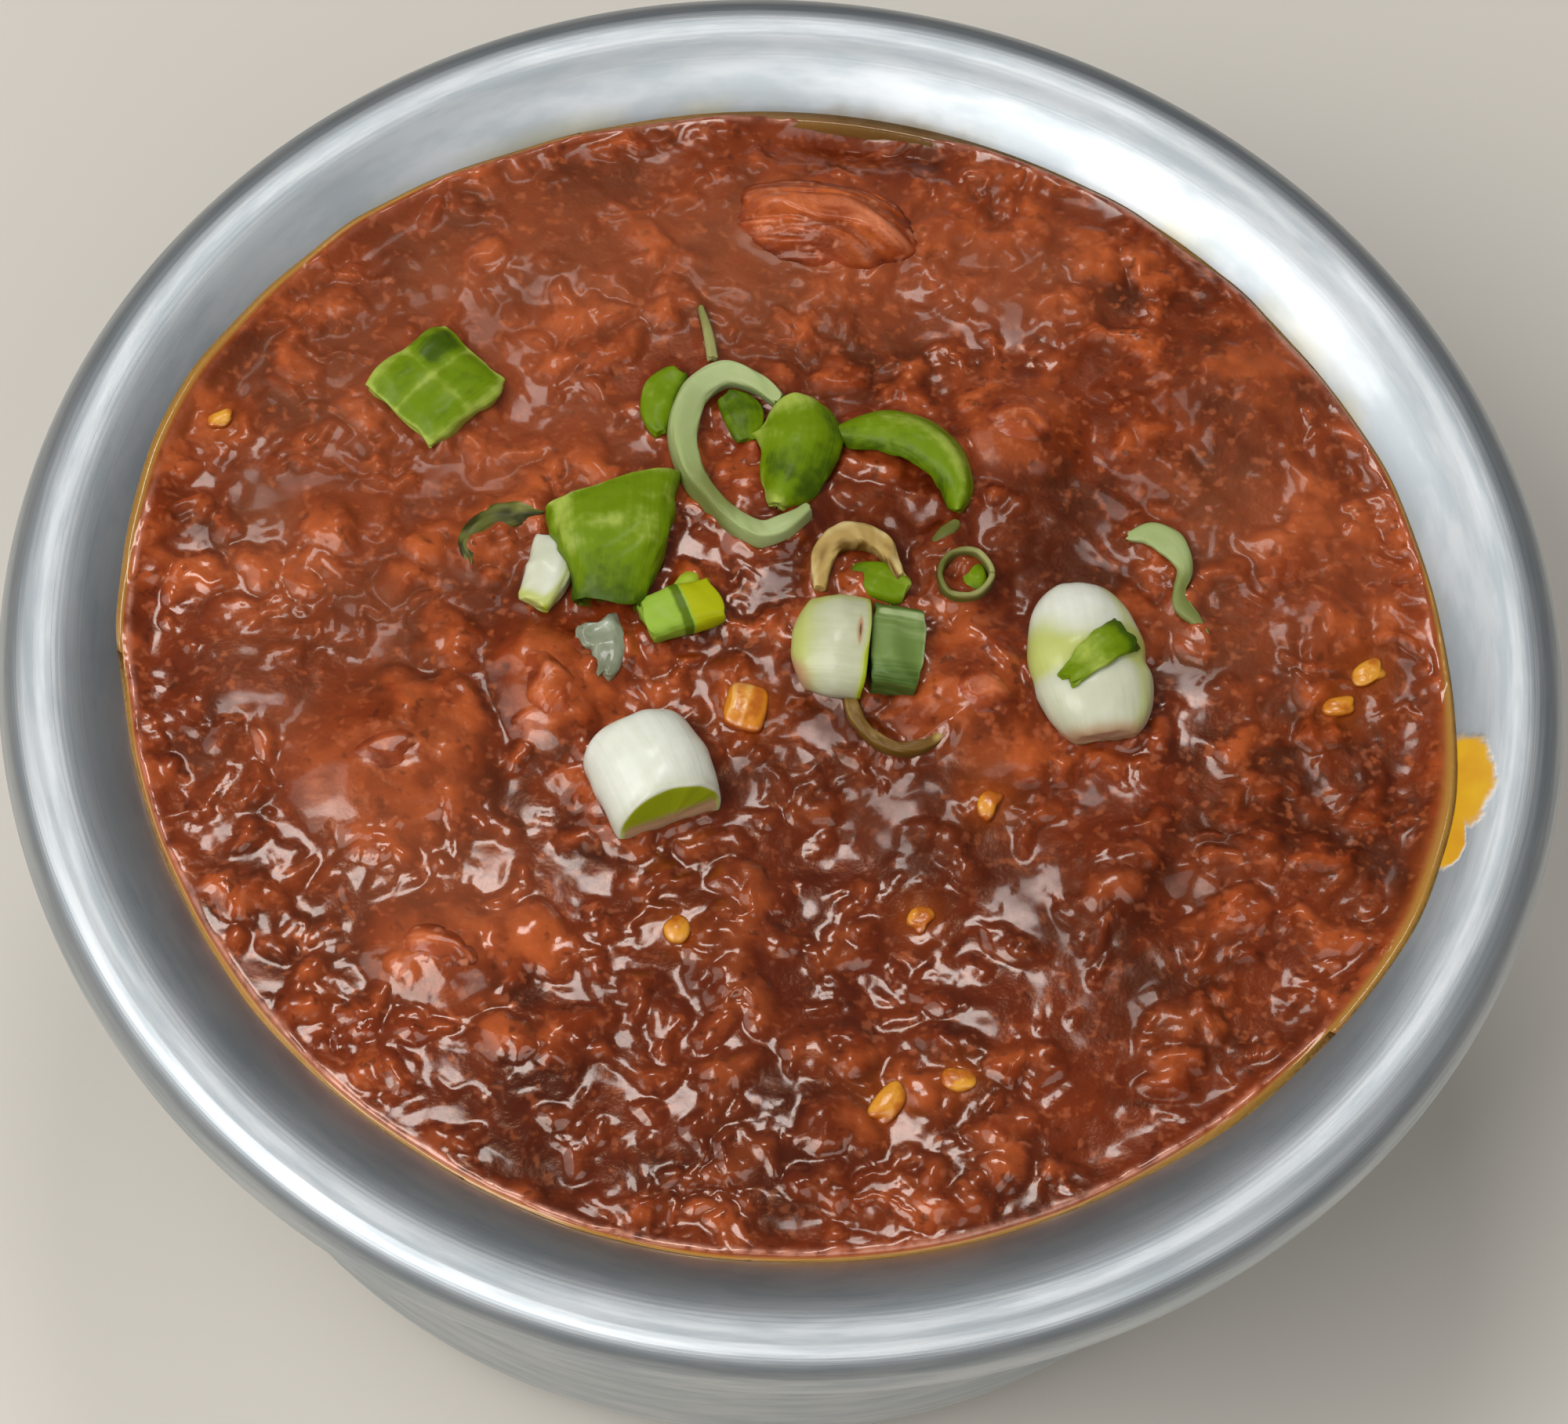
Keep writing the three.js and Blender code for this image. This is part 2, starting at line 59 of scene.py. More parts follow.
back = (camera_place - camera_target).normalized()
level_right = Vector((0, 0, 1)).cross(back).normalized()
level_up = back.cross(level_right)
right = level_right * math.cos(camera_turn) + level_up * math.sin(camera_turn)
camera_data = bpy.data.cameras.new("camera")
camera_data.lens = camera_lens
camera = bpy.data.objects.new("camera", camera_data)
bpy.context.scene.collection.objects.link(camera)
camera.matrix_world = Matrix((right, back.cross(right), back)).transposed().to_4x4()
camera.matrix_world.translation = camera_place
bpy.context.scene.camera = camera

LIGHT_COLOUR = (1.0, 0.99, 0.97)


def hang_light(name, azimuth, elevation, distance, width, height, watts):
    """A rectangular light aimed at the bowl. Azimuth 0 is to the right, 90 is behind."""
    a = math.radians(azimuth)
    e = math.radians(elevation)
    way = Vector((math.cos(a) * math.cos(e), math.sin(a) * math.cos(e), math.sin(e)))
    light = bpy.data.lights.new(name, "AREA")
    light.shape = "RECTANGLE"
    light.size = width
    light.size_y = height
    light.energy = watts
    light.color = LIGHT_COLOUR
    holder = bpy.data.objects.new(name, light)
    holder.location = Vector((0, 0, rim_top)) + way * distance
    holder.rotation_euler = way.to_track_quat("Z", "Y").to_euler()
    bpy.context.scene.collection.objects.link(holder)


hang_light("window_left", 188, 50, 0.90, 0.60, 0.56, 2.0)
hang_light("softbox_behind", 101, 66, 0.89, 0.21, 0.18, 1.4)
hang_light("softbox_near_left", 225, 55, 0.90, 0.45, 0.45, 4.2)
hang_light("softbox_near_right", 315, 55, 0.90, 0.45, 0.45, 1.5)

world = bpy.data.worlds.new("studio")
bpy.context.scene.world = world
world.use_nodes = True
surroundings = world.node_tree.nodes["Background"].inputs
surroundings["Color"].default_value = (0.97, 0.99, 1.0, 1)
surroundings["Strength"].default_value = 0.14


def linear(red, green, blue):
    """A colour in display values from 0 to 255, as the shaders take it."""
    shares = [v / 255 for v in (red, green, blue)]
    return (*[v / 12.92 if v <= 0.04045 else ((v + 0.055) / 1.055) ** 2.4 for v in shares], 1.0)


def new_finish(name, **values):
    """A material with one shader, whose plain values are set on its own sockets."""
    finish = bpy.data.materials.new(name)
    finish.use_nodes = True
    tree = finish.node_tree
    shader = tree.nodes["Principled BSDF"]
    for socket, value in values.items():
        shader.inputs[socket.replace("_", " ")].default_value = value
    return finish, tree, shader


def add(tree, kind, inputs=None, **settings):
    """One more node. An input is a plain value or another node's output."""
    node = tree.nodes.new("ShaderNode" + kind)
    for name, value in settings.items():
        setattr(node, name, value)
    for name, value in (inputs or {}).items():
        if isinstance(value, bpy.types.NodeSocket):
            tree.links.new(value, node.inputs[name])
        else:
            node.inputs[name].default_value = value
    return node.outputs


def blend(tree, share, first, second):
    """The first colour where share is 0 and the second where it is 1."""
    return add(tree, "Mix", {0: share, 6: first, 7: second}, data_type="RGBA")[2]


def speckle(tree, place, scale, detail=2.0, roughness=0.5):
    """A noise whose values lie round one half."""
    sockets = {"Vector": place, "Scale": scale, "Detail": detail, "Roughness": roughness}
    return add(tree, "TexNoise", sockets)["Fac"]


bpy.ops.object.select_all(action="DESELECT")
bpy.ops.mesh.primitive_plane_add(size=5)
table_top = bpy.context.object
table_top.name = "table_top"
table_finish, tree, shader = new_finish("table_finish", Roughness=0.6)
place = add(tree, "TexCoord")["Object"]
mottle = speckle(tree, place, 9.0, 4.0)
pale_stone = blend(tree, mottle, linear(214, 208, 198), linear(222, 216, 207))
tree.links.new(pale_stone, shader.inputs["Base Color"])
table_top.data.materials.append(table_finish)

# ---------- steel bowl ----------
# One sheet of stainless steel, spun over a former into a straight-sided bowl with a flat foot.
# Its mouth flares out into a wide lip that ends in a rolled rim. The satin finish still has the
# faint rings of the spinning, and sauce has dried on it in places.
MM = 0.001
RIM_R = 69.97                              # outside of the rolled rim
BEAD_R = 3.4                               # radius of the roll
CREST_R = RIM_R - BEAD_R
CREST_Z = rim_top / MM
LIP_BEND = 0.0547                          # how fast the lip falls away from the crest
LIP_R = 58.1                               # where the lip turns down into the wall
WALL_TOP_R = 57.0
SHEET = 1.2
CORNER_R = 18.0
FOOT_R = 39.2
BOWL_TURNS = 240
FILM_FROM_R = 57.7                         # oil has spread on the steel between these radii
FILM_TO_R = 60.5


def lip_z(r):
    """Height of the flared lip, in millimetres."""
    return CREST_Z - LIP_BEND * (CREST_R - r) ** 2


def arc(centre_r, centre_z, radius, start, end, steps):
    """Points on a round stretch of the profile, from one direction in degrees to another."""
    turns = [math.radians(start + (end - start) * k / steps) for k in range(steps + 1)]
    return [(centre_r + radius * math.cos(a), centre_z + radius * math.sin(a)) for a in turns]


wall_outside = [(57.6, 30.0), (57.9, 41.0), (WALL_TOP_R + SHEET, 51.0)]
under_lip = [(58.35, 53.3), (58.65, 55.2), (59.1, 56.4), (59.9, 57.5), (60.9, 58.2), (62.2, 58.5)]
lip = [(r, lip_z(r)) for r in np.arange(66.0, LIP_R, -0.6)]
throat = [(58.1, 58.05), (57.72, 57.5), (57.45, 56.6), (57.28, 55.6), (57.12, 54.4), (57.0, 51.0)]
wall_inside = [(56.7, 41.0), (56.35, 29.5)]
bowl_profile = [
    *arc(FOOT_R, CORNER_R, CORNER_R, -90, 0, 10)[1:], *wall_outside, *under_lip,
    *arc(CREST_R, CREST_Z - BEAD_R, BEAD_R, 205, 450, 30), *lip, *throat, *wall_inside,
    *arc(FOOT_R, CORNER_R, CORNER_R - SHEET, 0, -90, 8),
]

bpy.ops.object.select_all(action="DESELECT")
bpy.ops.mesh.primitive_circle_add(vertices=BOWL_TURNS, radius=FOOT_R * MM, fill_type="NGON")
steel_bowl = bpy.context.object
steel_bowl.name = "steel_bowl"
bpy.ops.object.mode_set(mode="EDIT")
bpy.ops.mesh.select_all(action="SELECT")
last_r, last_z = FOOT_R, 0.0
for ring_r, ring_z in bowl_profile:
    rise = (0, 0, (ring_z - last_z) * MM)
    bpy.ops.mesh.extrude_region_move(TRANSFORM_OT_translate={"value": rise})
    spread = ring_r / last_r
    bpy.ops.transform.resize(value=(spread, spread, 1), center_override=(0, 0, 0))
    last_r, last_z = ring_r, ring_z
bpy.ops.mesh.select_all(action="SELECT")
bpy.ops.mesh.normals_make_consistent(inside=False)
bpy.ops.object.mode_set(mode="OBJECT")
bpy.ops.object.shade_smooth_by_angle(angle=math.radians(40))


def stretch(tree, value, low, high, to_low=0.0, to_high=1.0):
    """Values from low to high become to_low to to_high, and stay between those."""
    ends = {"Value": value, "From Min": low, "From Max": high, "To Min": to_low, "To Max": to_high}
    return add(tree, "MapRange", ends, interpolation_type="SMOOTHSTEP")["Result"]


def sums(tree, how, first, second=0.0, third=0.0):
    """One calculation of the shader. MULTIPLY_ADD is first times second, plus third."""
    return add(tree, "Math", {0: first, 1: second, 2: third}, operation=how)[0]


def emboss(tree, shader, height, depth, strength=1.0):
    """Relief in the surface alone, whose full height is depth in metres."""
    bump = add(tree, "Bump", {"Height": height, "Strength": strength, "Distance": depth})
    tree.links.new(bump["Normal"], shader.inputs["Normal"])


steel_finish, tree, shader = new_finish(
    "satin_steel", Metallic=1.0, Roughness=0.45, Anisotropic=0.3
)
place = add(tree, "TexCoord")["Object"]
x_y_z = add(tree, "SeparateXYZ", {0: place})
flat_place = add(tree, "VectorMath", {0: place, 1: (1, 1, 0)}, operation="MULTIPLY")[0]
from_axis = add(tree, "VectorMath", {0: flat_place}, operation="LENGTH")["Value"]
down_sheet = sums(tree, "SUBTRACT", from_axis, x_y_z["Z"])
spun_rings = add(
    tree, "TexNoise", {"W": down_sheet, "Scale": 2600.0, "Detail": 3.0}, noise_dimensions="1D"
)["Fac"]
clouds = speckle(tree, place, 55.0, 3.0)
cosine = sums(tree, "DIVIDE", x_y_z["X"], from_axis)
sine = sums(tree, "DIVIDE", x_y_z["Y"], from_axis)
streak_place = add(tree, "CombineXYZ", {
    0: sums(tree, "MULTIPLY", down_sheet, 900.0),
    1: sums(tree, "MULTIPLY", cosine, 5.0),
    2: sums(tree, "MULTIPLY", sine, 5.0),
})[0]
streaks = speckle(tree, streak_place, 1.0, 4.0, 0.6)
grit = speckle(tree, place, 1500.0, 2.0)


def patch(centre, reach, edge, grain):
    """A mask that is 1 inside an oval round centre, with an uneven edge. All in millimetres."""
    away = add(tree, "VectorMath", {0: place, 1: [c * MM for c in centre]}, operation="SUBTRACT")[0]
    ovals = [1 / (r * MM) for r in reach]
    scaled = add(tree, "VectorMath", {0: away, 1: ovals}, operation="MULTIPLY")[0]
    far = add(tree, "VectorMath", {0: scaled}, operation="LENGTH")["Value"]
    ragged = sums(tree, "MULTIPLY_ADD", speckle(tree, place, grain, 3.0), 0.9, far)
    return stretch(tree, ragged, 1.45 - edge, 1.45 + edge, 1.0, 0.0)


smear = patch((61.1, -4.8, 60.5), (2.4, 4.5, 4.0), 0.16, 420.0)
smear_tail = patch((60.0, -10.5, 60.0), (1.3, 3.8, 4.0), 0.12, 420.0)
smear = sums(tree, "MAXIMUM", smear, smear_tail)
dried_back = patch((2.5, 57.6, 55.6), (11.0, 2.6, 2.9), 0.45, 260.0)
rim_spot = patch((44.0, 54.0, 58.6), (3.6, 2.6, 2.0), 0.16, 380.0)

# the oil is on the lip alone, and not on the outside of the wall
near_food = stretch(tree, from_axis, FILM_FROM_R * MM, FILM_TO_R * MM, 1.0, 0.0)
above_wall = stretch(tree, x_y_z["Z"], 0.0570, 0.0578)
film = stretch(tree, speckle(tree, place, 90.0, 3.0), 0.42, 0.66)
film = sums(tree, "MULTIPLY", sums(tree, "MULTIPLY", near_food, above_wall), film)

steel_colour = blend(tree, clouds, linear(193, 198, 202), linear(206, 209, 211))
steel_colour = blend(tree, stretch(tree, streaks, 0.38, 0.66), steel_colour, linear(181, 188, 193))
steel_colour = blend(tree, sums(tree, "MULTIPLY", film, 0.55), steel_colour, linear(196, 184, 132))
dried = blend(tree, speckle(tree, place, 240.0), linear(96, 70, 22), linear(150, 126, 62))
steel_colour = blend(tree, dried_back, steel_colour, dried)
steel_colour = blend(tree, rim_spot, steel_colour, linear(176, 140, 60))
yellow = blend(tree, speckle(tree, place, 300.0, 2.0), linear(202, 128, 0), linear(228, 184, 12))
by_curry = stretch(tree, from_axis, 0.0590, 0.0606, 0.85, 0.0)
yellow = blend(tree, by_curry, yellow, linear(176, 88, 6))
steel_colour = blend(tree, smear, steel_colour, yellow)
tree.links.new(steel_colour, shader.inputs["Base Color"])
stained = sums(tree, "MAXIMUM", smear, sums(tree, "MAXIMUM", dried_back, rim_spot))
tree.links.new(sums(tree, "SUBTRACT", 1.0, stained), shader.inputs["Metallic"])
dull = stretch(tree, clouds, 0.3, 0.7, 0.42, 0.47)
dull = sums(tree, "MULTIPLY_ADD", spun_rings, 0.06, dull)
dull = sums(tree, "MULTIPLY_ADD", streaks, 0.08, sums(tree, "ADD", dull, -0.04))
tree.links.new(dull, shader.inputs["Roughness"])
texture = sums(tree, "MULTIPLY_ADD", grit, 0.25, spun_rings)
texture = sums(tree, "MULTIPLY_ADD", smear, 6.0, texture)
emboss(tree, shader, texture, 0.00004, 0.35)
tangent = add(tree, "Tangent", direction_type="RADIAL", axis="Z")["Tangent"]
tree.links.new(tangent, shader.inputs["Tangent"])
steel_bowl.data.materials.append(steel_finish)
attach(steel_bowl, "root")
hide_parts("bowl", "rim")

# ---------- curry ----------
# A thick red-brown gravy of cooked-down onion and tomato. Soft grains of pulp stand out of the
# oily sauce, which draws up round them and shines. At the steel it ends in a thick round edge,
# with a thin film of orange oil beyond.
CURRY_LEVEL = 58.3

# where chicken stands out of the curry: centre x and y, top, half lengths, turn in degrees, and
# how far its middle is bare of sauce
chicken_pieces = {
    "chicken_back": ((-1.5, 45.6), 61.5, (10.6, 5.9, 6.0), -6, 2.3),
    "chicken_left": ((-20.4, -6.4), 60.8, (3.9, 6.6, 5.0), 28, 0.5),
    "chicken_right": ((17.4, -2.2), 61.1, (5.6, 6.7, 5.5), 12, 0.35),
    "chicken_lump": ((-33.5, -15.4), 60.7, (7.4, 6.4, 6.0), 20, 0.2),
    "chicken_low": ((-26.2, -33.6), 60.6, (5.8, 4.6, 5.0), -15, 0.4),
    "chicken_red": ((18.4, 26.4), 61.0, (5.2, 4.8, 5.0), 0, 0.45),
}

# lumps and hollows: x, y, height, half width in x, half width in y
lumps = [
    (0, 9, 1.0, 19, 14), (-30, 39, 0.5, 9, 6), (-45, 16, 0.5, 8, 9), (-47, -10, 0.6, 6, 7),
    (20, 42, 0.7, 8, 6), (35, 31, 1.3, 11, 11), (45, 9, 0.5, 7, 7), (31, -17, 1.1, 4.5, 4),
    (37.5, -19.5, -1.4, 3.4, 2.6), (45, -15, 0.6, 5, 5), (12, -29, -0.8, 6, 5),
    (5, -19, -0.5, 6, 4), (-18, -43, 0.7, 8, 5), (0, -45, 0.5, 7, 5), (20, -46, 0.6, 6, 4),
    (-8, 38, 0.5, 6, 4), (-41.5, 7, 0.8, 3, 2.6), (-12, -31, 0.5, 6, 5), (28, -36, 0.5, 6, 5),
    (-47, -27, 0.5, 5, 6),
]
# where the surface is nearly smooth: x, y, half width in x, half width in y
smooth_places = [(-42, -10, 9, 6), (24, 15, 7, 9), (-35, -17, 5, 4), (37, 27, 9, 14)]
# where a spoon has left long folds
stirred_place = (36, 26, 14, 16)
# where the surface is dull, and where it is oily and glints
dull_places = [(-38, 28, 20, 18), (-30, 8, 14, 10), (30, 25, 17, 17), (-5, 47, 30, 7),
               (-38, -12, 9, 7), (40, -5, 10, 9), (0, 33, 12, 6)]
oily_places = [(-30, -32, 20, 22), (4, -46, 34, 9), (8, -27, 24, 9), (35, -2, 6, 8),
               (-9, 7, 6, 7), (16, 32, 8, 4), (3, 51, 9, 2), (-53, -4, 5, 9)]
# where the curry is paler or darker: x, y, half width in x, half width in y, amount
pale_places = [(-32, 26, 24, 22, 0.35), (-44, 0, 10, 16, 0.25), (-30, -26, 14, 12, 0.35),
               (0, 43, 28, 9, 0.35), (8, -14, 22, 10, -0.3), (30, -27, 14, 12, -0.25),
               (-3, -30, 12, 8, -0.35), (8, 12, 16, 9, -0.4), (24, 15, 7, 9, -0.35),
               (2, -48, 30, 7, -0.3), (40, 20, 15, 18, 0.3)]
# the edge on the steel, each swell: direction in degrees, amount, half width in degrees
edge_swells = [(165, 1.9, 28), (347, 2.3, 22), (25, 0.5, 14), (262, 0.3, 14), (135, 0.4, 14)]
film_swells = [(170, 0.4, 26), (345, 0.6, 20), (318, 0.5, 10), (225, 0.3, 9)]
# where the edge thins out slowly to the steel, and where a highlight is painted on its round brim
slow_edges = [(348, 1.0, 20), (163, 0.35, 18)]
brim_highlight_swells = [(255, 0.85, 42), (312, 0.7, 13), (58, 0.5, 22), (182, 0.6, 12), (100, 0.35, 12)]


def seeded_values(seed, count):
    """Draws between -1 and 1 that are the same on every run."""
    values = []
    state = seed
    for _ in range(count):
        state = (state * 1664525 + 1013904223) % 2**32
        values.append(state / 2**32 * 2 - 1)
    return np.array(values)


ripple_values = seeded_values(71, 1024)


def ripple(x, y):
    """Smooth hills and hollows between -1 and 1, about one unit apart."""
    i = np.floor(x).astype(int)
    j = np.floor(y).astype(int)
    u = (x - i) ** 2 * (3 - 2 * (x - i))
    v = (y - j) ** 2 * (3 - 2 * (y - j))

    def corner(a, b):
        return ripple_values[((a * 73) ^ (b * 151)) & 1023]

    near = corner(i, j) * (1 - u) + corner(i + 1, j) * u
    far = corner(i, j + 1) * (1 - u) + corner(i + 1, j + 1) * u
    return near * (1 - v) + far * v


def read_points(piece):
    """The mesh's points, one to a row, in metres."""
    flat = np.zeros(len(piece.data.vertices) * 3)
    piece.data.vertices.foreach_get("co", flat)
    return flat.reshape(-1, 3)


def move_points(piece, points):
    """Puts the mesh's points where they are given, in metres."""
    piece.data.vertices.foreach_set("co", np.asarray(points, float).ravel())
    piece.data.update()


def note(piece, name, values):
    """Keeps one number for each vertex, for the finish to read."""
    kept = piece.data.attributes.get(name) or piece.data.attributes.new(name, "FLOAT", "POINT")
    kept.data.foreach_set("value", np.asarray(values, np.float32))


def bell(value, centre, width):
    """1 at the centre, and less and less to both sides."""
    return np.exp(-(((value - centre) / width) ** 2))


def hill(x, y, cx, cy, wide, deep):
    """1 at the middle of an oval place, and less and less all round."""
    return np.exp(-(((x - cx) / wide) ** 2) - ((y - cy) / deep) ** 2)


# the golden bits stuck in the surface: x, y, half length, half width, turn in degrees
bits = [
    (-3, -5.9, 2.5, 2.1, 84), (19.3, -12.2, 1.7, 1.1, 70), (-6.4, -28.4, 1.6, 1.2, 100),
    (14.5, -24.1, 1.4, 1.2, 60), (13.6, -42.2, 2.3, 1.3, 60), (19.4, -39.2, 1.5, 1.2, 10),
    (49.6, 2, 1.6, 1.0, 20), (52.1, 5.8, 1.8, 1.3, 40), (-53.6, 16.4, 1.3, 0.9, 30),
]


def curry_level(x, y):
    """The curry's main form, in millimetres."""
    z = CURRY_LEVEL + 0.3 * ripple(x / 6.5 + 20, y / 6.5 + 40)
    for cx, cy, height, wide, deep in lumps:
        z = z + height * hill(x, y, cx, cy, wide, deep)
    return z


def swelled(angle, base, swells):
    """The base, and more or less than it towards the directions of the swells."""
    total = base + 0 * angle
    for direction, amount, width in swells:
        off = (np.degrees(angle) - direction + 540) % 360 - 180
        total = total + amount * bell(off, 0, width)
    return total


def steel_z(r):
    """Height of the steel under the curry's edge."""
    radii = [p[0] for p in throat[::-1]] + [p[0] for p in lip[::-1]]
    heights = [p[1] for p in throat[::-1]] + [p[1] for p in lip[::-1]]
    return np.interp(r, radii, heights)


def scatter(i, j, seed):
    """An even draw from 0 to 1 that belongs to one square of a grid."""
    mixed = (i * 374761393 + j * 668265263 + seed * 974634777) & 0x7FFFFFFF
    mixed = ((mixed ^ (mixed >> 13)) * 1274126177) & 0x7FFFFFFF
    return ((mixed ^ (mixed >> 16)) & 0xFFFF) / 65535


def smooth_max(a, b, soft):
    """The higher of two forms, which run into each other where they are nearly the same."""
    share = np.clip(0.5 + 0.5 * (a - b) / soft, 0, 1)
    return b + (a - b) * share + soft * share * (1 - share)


def grains(x, y, seed):
    """Soft rounded grains of pulp, one to a unit square, uneven in size and run together."""
    i = np.floor(x).astype(np.int64)
    j = np.floor(y).astype(np.int64)
    high = 0 * x
    for di in (-1, 0, 1):
        for dj in (-1, 0, 1):
            gx = i + di + 0.1 + 0.8 * scatter(i + di, j + dj, seed)
            gy = j + dj + 0.1 + 0.8 * scatter(i + di, j + dj, seed + 1)
            own = 0.2 + 0.8 * scatter(i + di, j + dj, seed + 2)
            reach = 0.5 + 0.42 * scatter(i + di, j + dj, seed + 3)
            grain = own * (1 - ((x - gx) ** 2 + (y - gy) ** 2) / reach**2)
            high = smooth_max(high, np.maximum(grain, 0), 0.16)
    return high


def drawn_up(x, y):
    """Height to which the curry is drawn up over the chicken, and far below elsewhere."""
    z = np.full(np.shape(x), 40.0)
    for centre, top, half, turn, bared in chicken_pieces.values():
        a = math.radians(turn)
        u = ((x - centre[0]) * math.cos(a) + (y - centre[1]) * math.sin(a)) / half[0]
        v = ((y - centre[1]) * math.cos(a) - (x - centre[0]) * math.sin(a)) / half[1]
        z = np.maximum(z, top - bared - 1.3 * (u * u + v * v))
    return z


def curry_surface(x, y):
    """Height of the curry's skin in millimetres, and how far each place is pulp and not sauce."""
    level = curry_level(x, y)
    calm = 0 * x
    for place in smooth_places:
        calm = np.maximum(calm, hill(x, y, *place))
    busy = 1 - 0.55 * calm
    wx = x + 1.3 * ripple(x / 3.6 + 9, y / 3.6 + 4) + 0.45 * ripple(x / 1.3 + 3, y / 1.3 + 14)
    wy = y + 1.3 * ripple(x / 3.6 + 31, y / 3.6 + 17) + 0.45 * ripple(x / 1.3 + 23, y / 1.3 + 34)
    coarse = grains(wx / 5.2, wy / 4.4, 5)
    middling = grains((wx * 0.8 + wy * 0.6) / 2.7, (wy * 0.8 - wx * 0.6) / 2.3, 21)
    fine = grains((wx * 0.9 - wy * 0.4) / 1.35, (wy * 0.9 + wx * 0.4) / 1.25, 43)
    clump = ripple(x / 8 + 50, y / 8 + 23)
    pulp = level - 0.62 + 0.28 * clump + (0.85 * coarse + 0.52 * middling + 0.17 * fine) * busy
    pulp = pulp + 0.30 * ripple(wx / 3.4 + 3, wy / 3.4 + 8) * busy + 0.3 * calm
    shreds = np.clip(1 - 5.5 * np.abs(ripple(wx / 2.3 + 70, wy / 2.3 + 12)), 0, 1)
    shreds = shreds * np.clip(0.3 + 1.5 * ripple(x / 4.2 + 15, y / 4.2 + 71), 0, 1)
    pulp = pulp + (0.26 * shreds + 0.05 * ripple(x / 0.9 + 5, y / 0.9 + 3)) * busy
    sauce = level - 0.16 + 0.10 * calm + 0.14 * ripple(x / 5.5 + 12, y / 5.5 + 2)
    sauce = sauce + 0.07 * ripple(x / 1.9 + 7, y / 1.9 + 19)
    skin = smooth_max(pulp, sauce, 0.20)
    out = np.hypot(x, y) / 1.5 + 2 * ripple(x / 6, y / 6)
    skin = skin + 0.22 * hill(x, y, *stirred_place) * ripple(out, np.arctan2(y, x) * 5)
    skin = smooth_max(skin, drawn_up(x, y) + 0.6 * (skin - level), 0.8)
    return skin, np.clip((pulp - sauce + 0.05) / 0.6, 0, 1)


bpy.ops.object.select_all(action="DESELECT")
bpy.ops.mesh.primitive_circle_add(vertices=6, radius=1, fill_type="TRIFAN")
curry = bpy.context.object
curry.name = "curry"
bpy.ops.object.mode_set(mode="EDIT")
bpy.ops.mesh.select_all(action="SELECT")
bpy.ops.mesh.subdivide(number_cuts=12)
bpy.ops.mesh.subdivide(number_cuts=12)
bpy.ops.mesh.select_mode(type="EDGE")
bpy.ops.mesh.select_all(action="DESELECT")
bpy.ops.mesh.select_non_manifold()
skirt_depths = [0.6, 3.0, 8.0, 40.0, 56.0]
for k in range(len(skirt_depths)):
    bpy.ops.mesh.extrude_region_move(TRANSFORM_OT_translate={"value": (0, 0, -1)})
bpy.ops.mesh.edge_face_add()
bpy.ops.mesh.select_all(action="SELECT")
bpy.ops.mesh.normals_make_consistent(inside=False)
bpy.ops.object.mode_set(mode="OBJECT")

blank = read_points(curry)
layer = np.rint(-blank[:, 2]).astype(int)   # 0 on the top, and 1, 2, ... down the skirt
angle = np.arctan2(blank[:, 1], blank[:, 0])
sixth = math.radians(60)                   # the blank is a hexagon with a corner at the back
to_side = math.cos(sixth / 2) / np.cos(np.mod(angle + sixth / 2, sixth) - sixth / 2)
ROWS = 169                                 # from the middle to the edge of the film
row = np.rint(ROWS * np.hypot(blank[:, 0], blank[:, 1]) / to_side)
out = np.minimum(row / (ROWS - 1), 1)
PACKING = 0.05                             # draws the rows closer together towards the edge
out = out * (1 + PACKING) - PACKING * out ** 12
EDGE_R = 58.0                              # where the thick edge lies before it swells
EDGE_WANDER = 0.16
FILM_WIDE = 0.16
thick_edge = swelled(angle, EDGE_R, edge_swells)
thick_edge = thick_edge + EDGE_WANDER * ripple(np.cos(angle) * 9 + 20, np.sin(angle) * 9 + 20)
film_edge = np.maximum(thick_edge + swelled(angle, FILM_WIDE, film_swells), LIP_R + 0.12)
radius = np.where(row < ROWS, thick_edge * out, film_edge)
x = radius * np.cos(angle)
y = radius * np.sin(angle)
skin, pulp_share = curry_surface(x, y)

# at the far side the curry has sunk and left its stain on the wall
SUNK = 2.2
at_back = bell(np.degrees(angle), 90, 9)
skin = skin - SUNK * at_back * np.clip((radius - 51.5) / 4, 0, 1) ** 1.5

# towards the steel it rounds over, and ends in the film
EDGE_HIGH = 0.55                           # how thick the curry is where it rounds over
EDGE_THIN = 0.12                           # how thick it is where the film starts
FILM_THIN = 0.04
inside = thick_edge - radius               # distance in from the thick edge
bed = steel_z(radius)
slow = swelled(angle, 0, slow_edges)
rounding = np.clip(inside / (0.8 + 1.2 * slow), 0, 1)
high = EDGE_HIGH * (1 - 0.55 * slow) * np.sqrt(1 - (1 - rounding) ** 2)
edge_bed = (steel_z(thick_edge - 0.3) + steel_z(thick_edge) + steel_z(thick_edge + 0.3)) / 3
rounded = edge_bed + EDGE_THIN + high
to_edge = np.clip(1 - (inside - 0.5) / 3.2, 0, 1) ** 2
skin = skin * (1 - to_edge) + np.minimum(rounded, rounded * 0.5 + skin * 0.5 + 0.2) * to_edge
skin = np.maximum(skin, bed + EDGE_THIN + 0.5 * high)
skin = np.where(row < ROWS, skin, bed + FILM_THIN)

